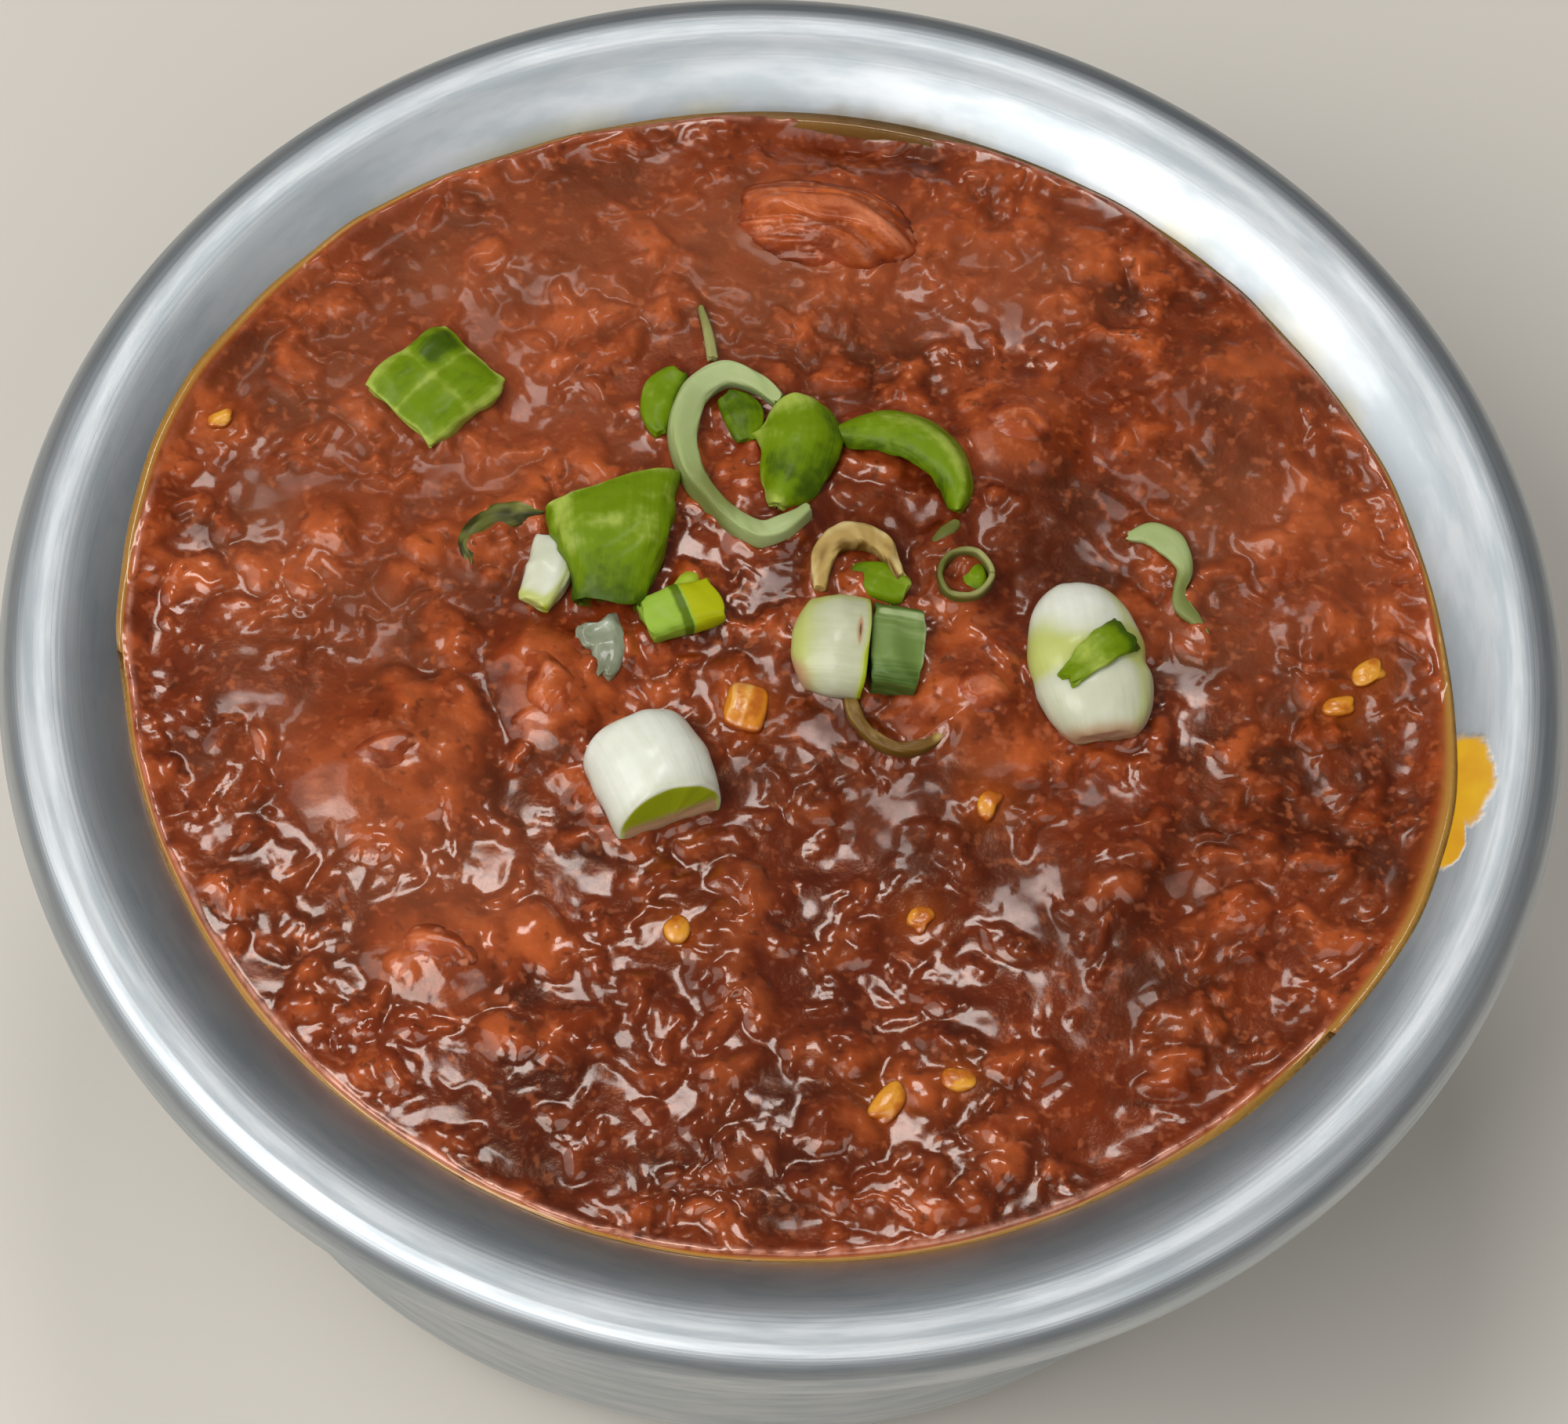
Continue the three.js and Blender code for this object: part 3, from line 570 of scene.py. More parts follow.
# below the edge it fills the bowl to the bottom: heights, and radii at those heights
FILLED_Z = [1.5, 6.0, 18.0, 50.0, 57.0]
FILLED_R = [37.0, 49.0, 55.6, 56.6, 56.9]
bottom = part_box("gravy")[0].z / MM
z = skin.copy()
for k, depth in enumerate(skirt_depths, 1):
    low = max(CURRY_LEVEL - depth, bottom)
    radius[layer == k] = np.interp(low, FILLED_Z, FILLED_R)
    z[layer == k] = low
x = radius * np.cos(angle)
y = radius * np.sin(angle)
move_points(curry, np.stack([x, y, z], axis=1) * MM)

# what the finish reads: pulp or sauce, with painted shade in the hollows, oil and a painted
# highlight on the brim at the edge, stain, gold, wet and pale places
top = layer == 0
# pulp also takes how far the skin stands above the main form, so the hollows get painted shade
standing_for_painted_shade = np.clip((skin - curry_level(x, y) + 0.25) / 1.15, 0, 1)
note(curry, "pulp", np.where(top, 0.45 * pulp_share + 0.55 * standing_for_painted_shade, 0))
note(curry, "oil", np.where(top, np.clip(1 - inside / (0.7 + 1.9 * slow), 0, 1), 1))
# painted highlight: a pale pink line along the curry's round brim, stronger in some directions
painted_brim_highlight = bell(inside, 0.5, 0.3) * np.clip(swelled(angle, 0.15, brim_highlight_swells), 0, 1)
note(curry, "painted_brim_highlight", np.where(top, painted_brim_highlight, 0))
note(curry, "browned", bell(np.degrees(angle), 86, 17))
gold_near = 0 * x
for cx, cy, long, wide, turn in bits:
    gold_near = np.maximum(gold_near, hill(x, y, cx, cy, long + 0.7, long + 0.7))
note(curry, "gold_near", np.where(top, gold_near, 0))
wetness = 0.42 + 0.16 * ripple(x / 5 + 80, y / 5 + 33)
for place in dull_places:
    wetness = wetness - 0.3 * hill(x, y, *place)
for place in oily_places:
    wetness = wetness + 0.5 * hill(x, y, *place)
wetness = wetness + 0.4 * bell(inside, 0.5, 0.9)
note(curry, "wetness", np.clip(wetness, 0, 1))
paleness = 0.5 + 0.12 * ripple(x / 7 + 11, y / 7 + 63)
for *place, amount in pale_places:
    paleness = paleness + amount * hill(x, y, *place)
note(curry, "paleness", np.clip(paleness, 0, 1))
bpy.ops.object.shade_smooth()


def noted(tree, name):
    """The number that was noted on the piece's mesh."""
    return add(tree, "Attribute", attribute_name=name)["Fac"]


curry_finish, tree, shader = new_finish(
    "curry_sauce", Coat_Roughness=0.11, Specular_IOR_Level=0.35,
    Specular_Tint=(1.0, 0.58, 0.36, 1.0), Subsurface_Weight=0.25, Subsurface_Scale=1.0,
)
shader.inputs["Subsurface Radius"].default_value = (0.0012, 0.0003, 0.0001)
place = add(tree, "TexCoord")["Object"]
broad = stretch(tree, speckle(tree, place, 75.0, 3.0), 0.36, 0.64)
middling = stretch(tree, speckle(tree, place, 230.0, 3.0), 0.38, 0.62)
fine = speckle(tree, place, 700.0, 3.0)
crumbs = speckle(tree, place, 820.0, 1.0)
sauce = blend(tree, broad, linear(68, 20, 3), linear(104, 35, 8))
sauce = blend(tree, sums(tree, "MULTIPLY", middling, 0.5), sauce, linear(138, 54, 16))
flesh = blend(tree, middling, linear(136, 52, 15), linear(188, 91, 42))
# the dark sauce colour where pulp is low is partly the sauce's own and partly painted shade
colour = blend(tree, stretch(tree, noted(tree, "pulp"), 0.15, 1.0, 0.0, 0.95), sauce, flesh)
colour = blend(tree, stretch(tree, fine, 0.58, 0.74, 0.0, 0.45), colour, linear(200, 104, 56))
colour = blend(tree, stretch(tree, fine, 0.42, 0.28, 0.0, 0.6), colour, linear(60, 17, 4))
colour = blend(tree, stretch(tree, crumbs, 0.58, 0.76, 0.0, 0.34), colour, linear(204, 118, 78))
paleness = noted(tree, "paleness")
colour = blend(tree, stretch(tree, paleness, 0.5, 1.0, 0.0, 0.5), colour, linear(172, 92, 56))
colour = blend(tree, stretch(tree, paleness, 0.5, 0.0, 0.0, 0.75), colour, linear(74, 22, 4))
gilded = sums(tree, "MULTIPLY", noted(tree, "gold_near"), 0.75)
colour = blend(tree, gilded, colour, linear(152, 68, 10))
# painted highlight: a pale pink colour laid along the round brim of the curry
painted_brim_highlight = sums(tree, "MULTIPLY", noted(tree, "painted_brim_highlight"), stretch(tree, fine, 0.36, 0.58, 0.15, 0.8))
colour = blend(tree, painted_brim_highlight, colour, linear(224, 160, 136))
oil = noted(tree, "oil")
oily = blend(tree, stretch(tree, oil, 0.6, 1.0), linear(156, 68, 12), linear(182, 126, 56))
browned = sums(tree, "MULTIPLY", noted(tree, "browned"), 0.9)
oily = blend(tree, browned, oily, linear(100, 72, 34))
colour = blend(tree, stretch(tree, oil, 0.3, 1.0), colour, oily)
tree.links.new(colour, shader.inputs["Base Color"])
wetness = sums(tree, "ADD", noted(tree, "wetness"), -0.12)
gloss = sums(tree, "MULTIPLY_ADD", middling, 0.25, wetness)
tree.links.new(stretch(tree, gloss, 0.1, 0.9, 0.44, 0.22), shader.inputs["Roughness"])
tree.links.new(stretch(tree, gloss, 0.1, 0.9, 0.10, 0.75), shader.inputs["Coat Weight"])
curly = add(tree, "TexNoise", {
    "Vector": place, "Scale": 520.0, "Detail": 1.5, "Roughness": 0.5, "Distortion": 0.7,
}, noise_type="RIDGED_MULTIFRACTAL")["Fac"]
height = sums(tree, "MULTIPLY_ADD", speckle(tree, place, 2400.0, 2.0), 0.4, fine)
height = sums(tree, "MULTIPLY_ADD", curly, 0.35, height)
emboss(tree, shader, height, 0.00030, 0.25)
curry.data.materials.append(curry_finish)
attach(curry, "root")
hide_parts("gravy")

# ---------- chicken ----------
# Pieces of stewed chicken that stand out of the curry. The meat has come apart into fibres that
# bend along a raised ridge. The sauce has dyed it orange, and covers it more towards its edges.
meat_finish, tree, shader = new_finish(
    "stewed_meat", Roughness=0.36, Coat_Weight=0.25, Coat_Roughness=0.1, Specular_IOR_Level=0.35,
    Specular_Tint=(1.0, 0.62, 0.45, 1.0), Subsurface_Weight=0.25, Subsurface_Scale=1.0,
)
shader.inputs["Subsurface Radius"].default_value = (0.0012, 0.0004, 0.0001)
place = add(tree, "TexCoord")["Object"]
# painted highlight and shade: the ridge and the strand tops are lighter, the grooves darker
fibre_light_and_shade = noted(tree, "fibre_light_and_shade")
patches = stretch(tree, speckle(tree, place, 230.0, 3.0), 0.38, 0.62)
meat = blend(tree, patches, linear(150, 62, 20), linear(190, 96, 46))
meat = blend(tree, stretch(tree, fibre_light_and_shade, 0.5, 1.0, 0.0, 0.85), meat, linear(212, 126, 86))
meat = blend(tree, stretch(tree, fibre_light_and_shade, 0.35, 0.0, 0.0, 0.65), meat, linear(104, 36, 10))
covered = blend(tree, patches, linear(104, 36, 12), linear(158, 68, 32))
uneven = sums(tree, "MULTIPLY_ADD", speckle(tree, place, 420.0, 3.0), 0.7, noted(tree, "bare"))
meat = blend(tree, stretch(tree, uneven, 0.35, 1.0), covered, meat)
flecks = speckle(tree, place, 820.0, 1.0)
meat = blend(tree, stretch(tree, flecks, 0.58, 0.76, 0.0, 0.55), meat, linear(222, 142, 104))
tree.links.new(meat, shader.inputs["Base Color"])
strings = speckle(tree, place, 700.0)
strings = sums(tree, "MULTIPLY_ADD", speckle(tree, place, 1300.0, 3.0), 0.6, strings)
emboss(tree, shader, strings, 0.0003, 0.4)


def turned_about(x, y, centre, turn):
    """Points turned by so many degrees, and then set down round the centre."""
    a = math.radians(turn)
    return (centre[0] + x * math.cos(a) - y * math.sin(a),
            centre[1] + x * math.sin(a) + y * math.cos(a))


STRANDS_FOR = 5.9                          # half width of the piece that the strands suit
for number, (node, (centre, top, half, turn, bared)) in enumerate(chicken_pieces.items()):
    bpy.ops.object.select_all(action="DESELECT")
    bpy.ops.mesh.primitive_ico_sphere_add(subdivisions=6, radius=1)
    meat_piece = bpy.context.object
    meat_piece.name = node.replace("chicken", "meat")
    x, y, z = read_points(meat_piece).T

    # the ridge and the fibres beside it run along one bent line
    bent = y - 0.10 - 0.22 * x + 0.9 * np.clip(x - 0.15, 0, 1) ** 1.3
    bent = bent + 0.10 * ripple(x * 2.2 + 5 * number, y * 2 + 4)
    ridge = bell(bent, 0, 0.15) * np.clip(1.1 - x * x, 0, 1)
    fine_bent = bent * half[1] / STRANDS_FOR
    strands = np.abs(ripple(x * 1.6 + 7 * number, fine_bent * 7 + 3)) ** 0.8
    strands = 0.6 * strands + 0.4 * np.abs(ripple(x * 3.4 + 5, fine_bent * 15 + 9 * number)) ** 0.8
    crag = ripple(x * 2.3 + 4 * number, y * 2.3 + z * 2.1)
    loose = np.clip(0.65 + 0.8 * ripple(x * 1.7 + 3 * number, y * 1.7 + 8), 0.2, 1)
    over = np.clip(z, 0, 1)
    swell = 0.95 + 0.07 * crag
    lift = over * (0.85 * ridge - 0.35 + 0.9 * (strands - 0.35) * loose + 0.35 * crag)
    lift = lift * (0.3 + 0.37 * bared)

    x, y = turned_about(x * half[0] * swell, y * half[1] * swell, centre, turn)
    z = np.minimum(top - half[2] + (z * half[2] + lift * half[2] / 6), top)
    move_points(meat_piece, np.stack([x, y, z], axis=1) * MM)
    # noted for the painted light: high on the ridge and the strand tops, low in the grooves
    note(meat_piece, "fibre_light_and_shade", np.clip(0.85 * strands * loose + 0.5 * ridge, 0, 1))
    note(meat_piece, "bare", np.clip((z - curry_surface(x, y)[0]) / 0.9, 0, 1))
    bpy.ops.object.shade_smooth()
    meat_piece.data.materials.append(meat_finish)
    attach(meat_piece, "root")
    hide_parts(node)

# ---------- golden bits ----------
# Little pieces of onion, ginger and garlic that turmeric and oil have turned golden. They are
# stuck in the curry's surface. The first is a cut cube with ridges, and the others are scraps.
golden_parts = []
for number, (cx, cy, long, wide, turn) in enumerate(bits):
    bpy.ops.object.select_all(action="DESELECT")
    bpy.ops.mesh.primitive_ico_sphere_add(subdivisions=5, radius=1)
    bit = bpy.context.object
    x, y, z = read_points(bit).T
    cut_cube = number == 0
    ragged = 0.08 if cut_cube else 0.22
    ridged = 0.14 if cut_cube else 0.0
    corners = 5.0 if cut_cube else 2.6
    crag = ragged * ripple(x * 1.2 + 6 * number, y * 1.2 + z)
    ridges = ridged * ripple(x * 0.8 + 3 * number, y * 3.4 + 2)
    round_by = (np.abs(x) ** corners + np.abs(y) ** corners) ** (1 / corners)
    boxy = (np.hypot(x, y) + 0.02) / (round_by + 0.02)
    spread = boxy * 0.92 + crag
    x, y = turned_about(x * long * spread, y * wide * spread, (cx, cy), turn)
    note(bit, "shown", np.clip(z, 0, 1))
    z = 0.7 * np.sign(z) * np.abs(z) ** 0.75 * (1 + crag + ridges) - 0.12
    rest = curry_surface(np.array([float(cx)]), np.array([float(cy)]))[0][0]
    move_points(bit, np.stack([x, y, rest + z], axis=1) * MM)
    note(bit, "own", np.full(len(x), (number * 0.37) % 1))
    note(bit, "ridge", np.clip(0.5 + 4 * ridges, 0, 1))
    golden_parts.append(bit)
for bit in golden_parts:
    bit.select_set(True)
bpy.context.view_layer.objects.active = golden_parts[0]
bpy.ops.object.join()
golden_bits = bpy.context.object
golden_bits.name = "golden_bits"
bpy.ops.object.shade_smooth()

golden_finish, tree, shader = new_finish(
    "golden_bits", Roughness=0.3, Coat_Weight=0.3, Coat_Roughness=0.1, Subsurface_Weight=0.5
)
shader.inputs["Subsurface Radius"].default_value = (0.0014, 0.0007, 0.0002)
shader.inputs["Subsurface Scale"].default_value = 1.0
place = add(tree, "TexCoord")["Object"]
golden = blend(tree, noted(tree, "own"), linear(212, 134, 20), linear(228, 164, 52))
fried = stretch(tree, speckle(tree, place, 420.0, 2.0), 0.46, 0.62)
golden = blend(tree, fried, golden, linear(188, 102, 14))
ridge = stretch(tree, noted(tree, "ridge"), 0.6, 1.0, 0.0, 0.7)
golden = blend(tree, ridge, golden, linear(238, 190, 112))
soaked = sums(tree, "MULTIPLY_ADD", speckle(tree, place, 600.0, 2.0), 0.5, noted(tree, "shown"))
golden = blend(tree, stretch(tree, soaked, 0.9, 0.3), golden, linear(156, 68, 12))
tree.links.new(golden, shader.inputs["Base Color"])
emboss(tree, shader, speckle(tree, place, 900.0, 2.0), 0.00015)
golden_bits.data.materials.append(golden_finish)
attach(golden_bits, "root")

# ---------- green tubes and leaves of spring onion ----------
# The green tops of spring onion, cut across into short lengths. Some are still round or squashed
# tubes with a thin wet wall, and some have split and lie as curled leaves. Fine veins run along
# each piece, and the cut edges are paler.


def smooth_line(points, t, loop=False):
    """A smooth line through the points, with t from 0 at the first to 1 at the last."""
    known = np.array(points, float)
    spans = len(known) if loop else len(known) - 1
    x = (np.mod(t, 1) if loop else t) * spans
    i = np.clip(np.floor(x).astype(int), 0, spans - 1)
    f = (x - i)[:, None]

    def point(k):
        return known[(i + k) % len(known)] if loop else known[np.clip(i + k, 0, len(known) - 1)]

    a, b, c, d = point(-1), point(0), point(1), point(2)
    bends = (2 * a - 5 * b + 4 * c - d) * f**2 + (3 * b - a - 3 * c + d) * f**3
    return 0.5 * (2 * b + (c - a) * f + bends)


def evenly(values, t):
    """A number that changes steadily between the given values along the piece."""
    values = np.atleast_1d(np.array(values, float))
    return np.interp(t, np.linspace(0, 1, len(values)), values)


def straight_tube(name, sides, steps, capped):
    """A blank: a tube of radius 1 that stands on end, one unit to a step."""
    bpy.ops.object.select_all(action="DESELECT")
    fill = "NGON" if capped else "NOTHING"
    bpy.ops.mesh.primitive_circle_add(vertices=sides, radius=1, fill_type=fill)
    piece = bpy.context.object
    piece.name = name
    bpy.ops.object.mode_set(mode="EDIT")
    bpy.ops.mesh.select_all(action="SELECT")
    for _ in range(steps):
        bpy.ops.mesh.extrude_region_move(TRANSFORM_OT_translate={"value": (0, 0, 1)})
    if capped:
        # rings on each end let it keep a crisp cut edge and carry a pattern on the cut
        bpy.ops.mesh.select_all(action="DESELECT")
        edit = bmesh.from_edit_mesh(piece.data)
        for face in edit.faces:
            face.select_set(len(face.verts) > 4)
        bmesh.update_edit_mesh(piece.data)
        for width in (0.12, 0.16, 0.2, 0.2, 0.16):
            bpy.ops.mesh.inset(thickness=width)
    bpy.ops.mesh.select_all(action="SELECT")
    bpy.ops.mesh.normals_make_consistent(inside=False)
    bpy.ops.object.mode_set(mode="OBJECT")
    return piece


def round_ring(name, sides, steps):
    """A blank: a ring with its middle line at radius 2 and a section of radius 1."""
    bpy.ops.object.select_all(action="DESELECT")
    bpy.ops.mesh.primitive_torus_add(
        major_segments=steps, minor_segments=sides, major_radius=2, minor_radius=1
    )
    piece = bpy.context.object
    piece.name = name
    return piece


def lay_along(piece, form):
    """Bends a blank to its path over the curry. Path points are x, y and height above the curry,
    w and h the width and thickness, square is 1 for a round section and 2 for a boxy one, and
    camber tells how far the middle stands above the sides. Slant and rake turn the cut ends."""
    path = form["path"]
    steps = form["steps"]
    loop = form.get("loop", False)
    x, y, z = read_points(piece).T
    if loop:
        t = np.mod(np.arctan2(y, x) / (2 * math.pi), 1)
        c, d = np.hypot(x, y) - 2, z
    else:
        t = np.clip(z / steps, 0, 1)
        c, d = x, y
    a = np.arctan2(d, c)
    share = np.hypot(c, d)                     # 1 on the skin and less on the cut ends
    ways = [(px, py, curry_level(np.float64(px), np.float64(py)) + lift) for px, py, lift in path]
    centre = smooth_line(ways, t, loop)
    before, after = t - 0.5 / steps, t + 0.5 / steps
    if not loop:
        before, after = np.maximum(before, 0), np.minimum(after, 1)
    ahead = smooth_line(ways, after, loop) - smooth_line(ways, before, loop)
    ahead = ahead / np.linalg.norm(ahead, axis=1)[:, None]
    across = np.cross(np.array([0.0, 0.0, 1.0]), ahead)
    across = across / np.linalg.norm(across, axis=1)[:, None]
    up = np.cross(ahead, across)
    turn = np.radians(evenly(form.get("lean", 0), t))[:, None]
    side = across * np.cos(turn) + up * np.sin(turn)
    over = up * np.cos(turn) - across * np.sin(turn)

    # the section, and how handling has worn it uneven
    square = form.get("square", 1.25)
    worn = form.get("worn", 1.0)
    first_x, first_y = path[0][:2]
    worn_x = t * steps * 0.22 + 1.3 * np.cos(a) + first_x
    worn_y = t * 2.5 + 1.3 * np.sin(a) + first_y
    dents = worn * (0.07 * ripple(worn_x, worn_y) + 0.045 * ripple(worn_x * 2.7, worn_y * 2.7))
    c = np.sign(np.cos(a)) * np.abs(np.cos(a)) ** (1 / square) * (1 + dents)
    d = np.sign(np.sin(a)) * np.abs(np.sin(a)) ** (1 / square) * (1 + 1.5 * dents)
    wide = evenly(form["w"], t) / 2
    thick = evenly(form["h"], t) / 2
    raise_by = form.get("camber", 0) * (0.5 - c * c)
    if form.get("shape"):
        wide, thick, raise_by = form["shape"](t, a, wide, thick, raise_by)
    raise_by = raise_by + 0.05 * worn * ripple(c * wide * 1.9 + first_y, t * 2 + first_x)
    sideways = c * wide * share
    upwards = d * thick * share
    forward = evenly(form.get("slant", 0), t) * sideways + evenly(form.get("rake", 0), t) * upwards
    if not loop:
        frayed = 0.30 * worn * share
        frayed = frayed * ripple(2.4 * np.cos(a) + first_x, 2.4 * np.sin(a) + path[-1][1])
        forward = forward + frayed * (np.clip(t * 4 - 3, 0, 1) - np.clip(1 - t * 4, 0, 1))
    points = centre + side * sideways[:, None] + ahead * forward[:, None]
    points = points + over * (upwards + raise_by)[:, None]
    move_points(piece, points * MM)
    length = np.linalg.norm(np.diff(np.array(ways), axis=0), axis=1).sum()
    note(piece, "along", t * length)
    note(piece, "around", (np.mod(a - math.pi / 2 + math.pi, 2 * math.pi) - math.pi) * wide)
    note(piece, "part", t)
    note(piece, "side", c * share)
    note(piece, "rise", d * share)
    note(piece, "cut", np.clip(1 - share, 0, 1))


def finish_mesh(piece, wall=0.0):
    """Gives a bent blank its wall and its fine surface."""
    bpy.ops.object.select_all(action="DESELECT")
    piece.select_set(True)
    bpy.context.view_layer.objects.active = piece
    if wall:
        shell = piece.modifiers.new("wall", "SOLIDIFY")
        shell.thickness = wall * MM
        shell.offset = -1
        shell.use_rim = True
        shell.material_offset = 1
        shell.material_offset_rim = 2
        bpy.ops.object.modifier_apply(modifier="wall")
        edges = piece.modifiers.new("soft_edges", "BEVEL")
        edges.width = wall * 0.22 * MM
        edges.segments = 2
        edges.limit_method = "ANGLE"
        edges.angle_limit = math.radians(50)
        bpy.ops.object.modifier_apply(modifier="soft_edges")
    fine = piece.modifiers.new("fine", "SUBSURF")
    fine.levels = 1
    fine.render_levels = 1
    bpy.ops.object.modifier_apply(modifier="fine")
    bpy.ops.object.shade_smooth()
    x, y, z = read_points(piece).T / MM
    above = z - curry_level(x, y)
    note(piece, "wet", np.clip(1 - above / 1.1, 0, 1))


def read_note(piece, name):
    """The numbers that note has kept."""
    values = np.zeros(len(piece.data.vertices), np.float32)
    piece.data.attributes[name].data.foreach_get("value", values)
    return values


onion_pieces = []


def make_piece(name, form, finishes):
    """Builds one piece of onion in the place of its solid. Its tone, which holds painted highlight
    and shade on some pieces, and its tints are functions of t along it, s to the side, u up and c
    in from the skin on a cut end."""
    wall = form.get("wall", 0.0)
    if form.get("loop"):
        piece = round_ring(name, form["sides"], form["steps"])
    else:
        piece = straight_tube(name, form["sides"], form["steps"], capped=not wall)
    lay_along(piece, form)
    finish_mesh(piece, wall)
    marks = [read_note(piece, mark) for mark in ("part", "side", "rise", "cut")]
    for tint in ("tone_and_painted_light", "leafward", "browned"):
        note(piece, tint, form[tint](*marks) if tint in form else 0 * marks[0])
    for finish in finishes:
        piece.data.materials.append(finish)
    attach(piece, "root")
    if form.get("node"):
        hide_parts(form["node"])
    onion_pieces.append(piece)
    return piece


def make_group(name, inputs, outputs):
    """A shader node group with these named inputs and outputs."""
    group = bpy.data.node_groups.new(name, "ShaderNodeTree")
    for label, kind, value in inputs:
        socket = group.interface.new_socket(label, in_out="INPUT", socket_type=kind)
        socket.default_value = value
    for label, kind in outputs:
        group.interface.new_socket(label, in_out="OUTPUT", socket_type=kind)
    enter = group.nodes.new("NodeGroupInput")
    leave = group.nodes.new("NodeGroupOutput")
    return group, enter.outputs, leave.inputs


# the veins of a leaf, and the sauce that clings to a piece where it meets the curry
veins, given, result = make_group(
    "onion_veins",
    [("Per Millimetre", "NodeSocketFloat", 2.2), ("Stretch", "NodeSocketFloat", 0.10)],
    [("Lines", "NodeSocketFloat"), ("Mottle", "NodeSocketFloat")],
)
across_veins = sums(veins, "MULTIPLY", noted(veins, "around"), given["Per Millimetre"])
along_veins = sums(veins, "MULTIPLY", noted(veins, "along"), given["Stretch"])
vein_place = add(veins, "CombineXYZ", {0: across_veins, 1: along_veins, 2: 0.0})[0]
veins.links.new(speckle(veins, vein_place, 1.0, 2.0), result["Lines"])
mottle_place = add(veins, "TexCoord")["Object"]
broad_mottle = speckle(veins, mottle_place, 300.0, 2.0)
fine_mottle = speckle(veins, mottle_place, 1000.0, 2.0)
mottle = sums(veins, "MULTIPLY_ADD", fine_mottle, 0.45, sums(veins, "MULTIPLY", broad_mottle, 0.55))
veins.links.new(mottle, result["Mottle"])

cling, given, result = make_group(
    "sauce_cling",
    [("Colour", "NodeSocketColor", (1, 1, 1, 1)), ("Amount", "NodeSocketFloat", 0.6)],
    [("Colour", "NodeSocketColor")],
)
cling_place = add(cling, "TexCoord")["Object"]
soaked = sums(cling, "MULTIPLY_ADD", speckle(cling, cling_place, 380.0, 3.0), 0.9,
              noted(cling, "wet"))
soaked = sums(cling, "MULTIPLY", stretch(cling, soaked, 0.75, 1.45), given["Amount"])
cling.links.new(blend(cling, soaked, given["Colour"], linear(112, 60, 22)), result["Colour"])


def onion_finish(name, deep, main, pale, amount=0.6, veined=0.4, per_mm=2.2, mottled=0.5, **more):
    """Moist spring onion: three tones laid by the piece's own tone, with its painted light, and its
    veins.
    """
    values = {"Roughness": 0.48, "Coat_Weight": 0.05, "Coat_Roughness": 0.14,
              "Specular_IOR_Level": 0.25, **more}
    finish, tree, shader = new_finish(name, **values)
    lines = add(tree, "Group", {"Per Millimetre": per_mm}, node_tree=veins)
    shade = sums(tree, "MULTIPLY_ADD", lines["Lines"], veined, -veined / 2 - mottled / 2)
    shade = sums(tree, "MULTIPLY_ADD", lines["Mottle"], mottled, shade)
    shade = sums(tree, "ADD", noted(tree, "tone_and_painted_light"), shade)
    colour = blend(tree, stretch(tree, shade, 0.0, -0.6), main, deep)
    colour = blend(tree, stretch(tree, shade, 0.0, 0.6), colour, pale)
    clung = add(tree, "Group", {"Colour": colour, "Amount": amount}, node_tree=cling)["Colour"]
    tree.links.new(clung, shader.inputs["Base Color"])
    relief = sums(tree, "MULTIPLY_ADD", lines["Mottle"], 0.5, lines["Lines"])
    emboss(tree, shader, relief, 0.00016, 0.3)
    return finish


def tinted(finish, attribute, colours):
    """Lays further colours over a finish, from the attribute's 0 to its 1."""
    tree = finish.node_tree
    target = tree.nodes["Principled BSDF"].inputs["Base Color"]
    amount = noted(tree, attribute)
    colour = target.links[0].from_socket
    for k, laid in enumerate(colours):
        start = k / len(colours)
        share = stretch(tree, amount, start + 0.05, start + 0.9 / len(colours))
        colour = blend(tree, share, colour, laid)
    tree.links.new(colour, target)


leafy = {"Specular_Tint": (0.9, 1.0, 0.55, 1.0)}
green_skin = onion_finish(
    "green_skin", linear(60, 84, 2), linear(106, 132, 2), linear(160, 176, 72),
    veined=0.3, mottled=1.3, **leafy
)
green_inside = onion_finish(
    "green_inside", linear(56, 76, 6), linear(92, 118, 20), linear(150, 166, 80), **leafy
)
cut_edge = onion_finish(
    "cut_edge", linear(104, 124, 44), linear(144, 160, 82), linear(176, 184, 118)
)
lime_skin = onion_finish(
    "lime_skin", linear(84, 108, 10), linear(146, 178, 60), linear(172, 176, 8), mottled=0.3, **leafy
)
ribbed_skin = onion_finish(
    "ribbed_skin", linear(70, 96, 34), linear(108, 132, 64), linear(160, 176, 122),
    veined=1.1, per_mm=1.7, mottled=0.3
)


def step_at(value, edge, soft):
    """0 below the edge and 1 above it, with a soft change between."""
    return np.clip((value - edge) / soft + 0.5, 0, 1)


def squashed_shape(t, a, wide, thick, raise_by):
    """The ends are pressed flat, and the upper wall has sunk to a shallow crease."""
    pressed = 1 - 0.55 * bell(t, 0, 0.13) - 0.55 * bell(t, 1, 0.13)
    crease = 0.30 * bell(np.cos(a), 0.05, 0.25) * (np.sin(a) > 0)
    uneven = 0.12 * ripple(t * 3 + 5, a * 1.2 + 4)
    corners = 1 - 0.05 * bell(t, 0, 0.1) - 0.10 * bell(t, 1, 0.1)
    return wide * corners, thick * pressed, raise_by - crease + 0.4 * uneven


def folded_shape(t, a, wide, thick, raise_by):
    """The tube is a little kinked across, and its upper wall is uneven."""
    kink = 0.25 * bell(t, 0.42, 0.10) * (np.sin(a) > 0)
    uneven = 0.22 * ripple(t * 3 + 15, a * 1.3 + 9)
    return wide * (1 + 0.02 * ripple(t * 5, 7)), thick, raise_by + kink + 0.4 * uneven


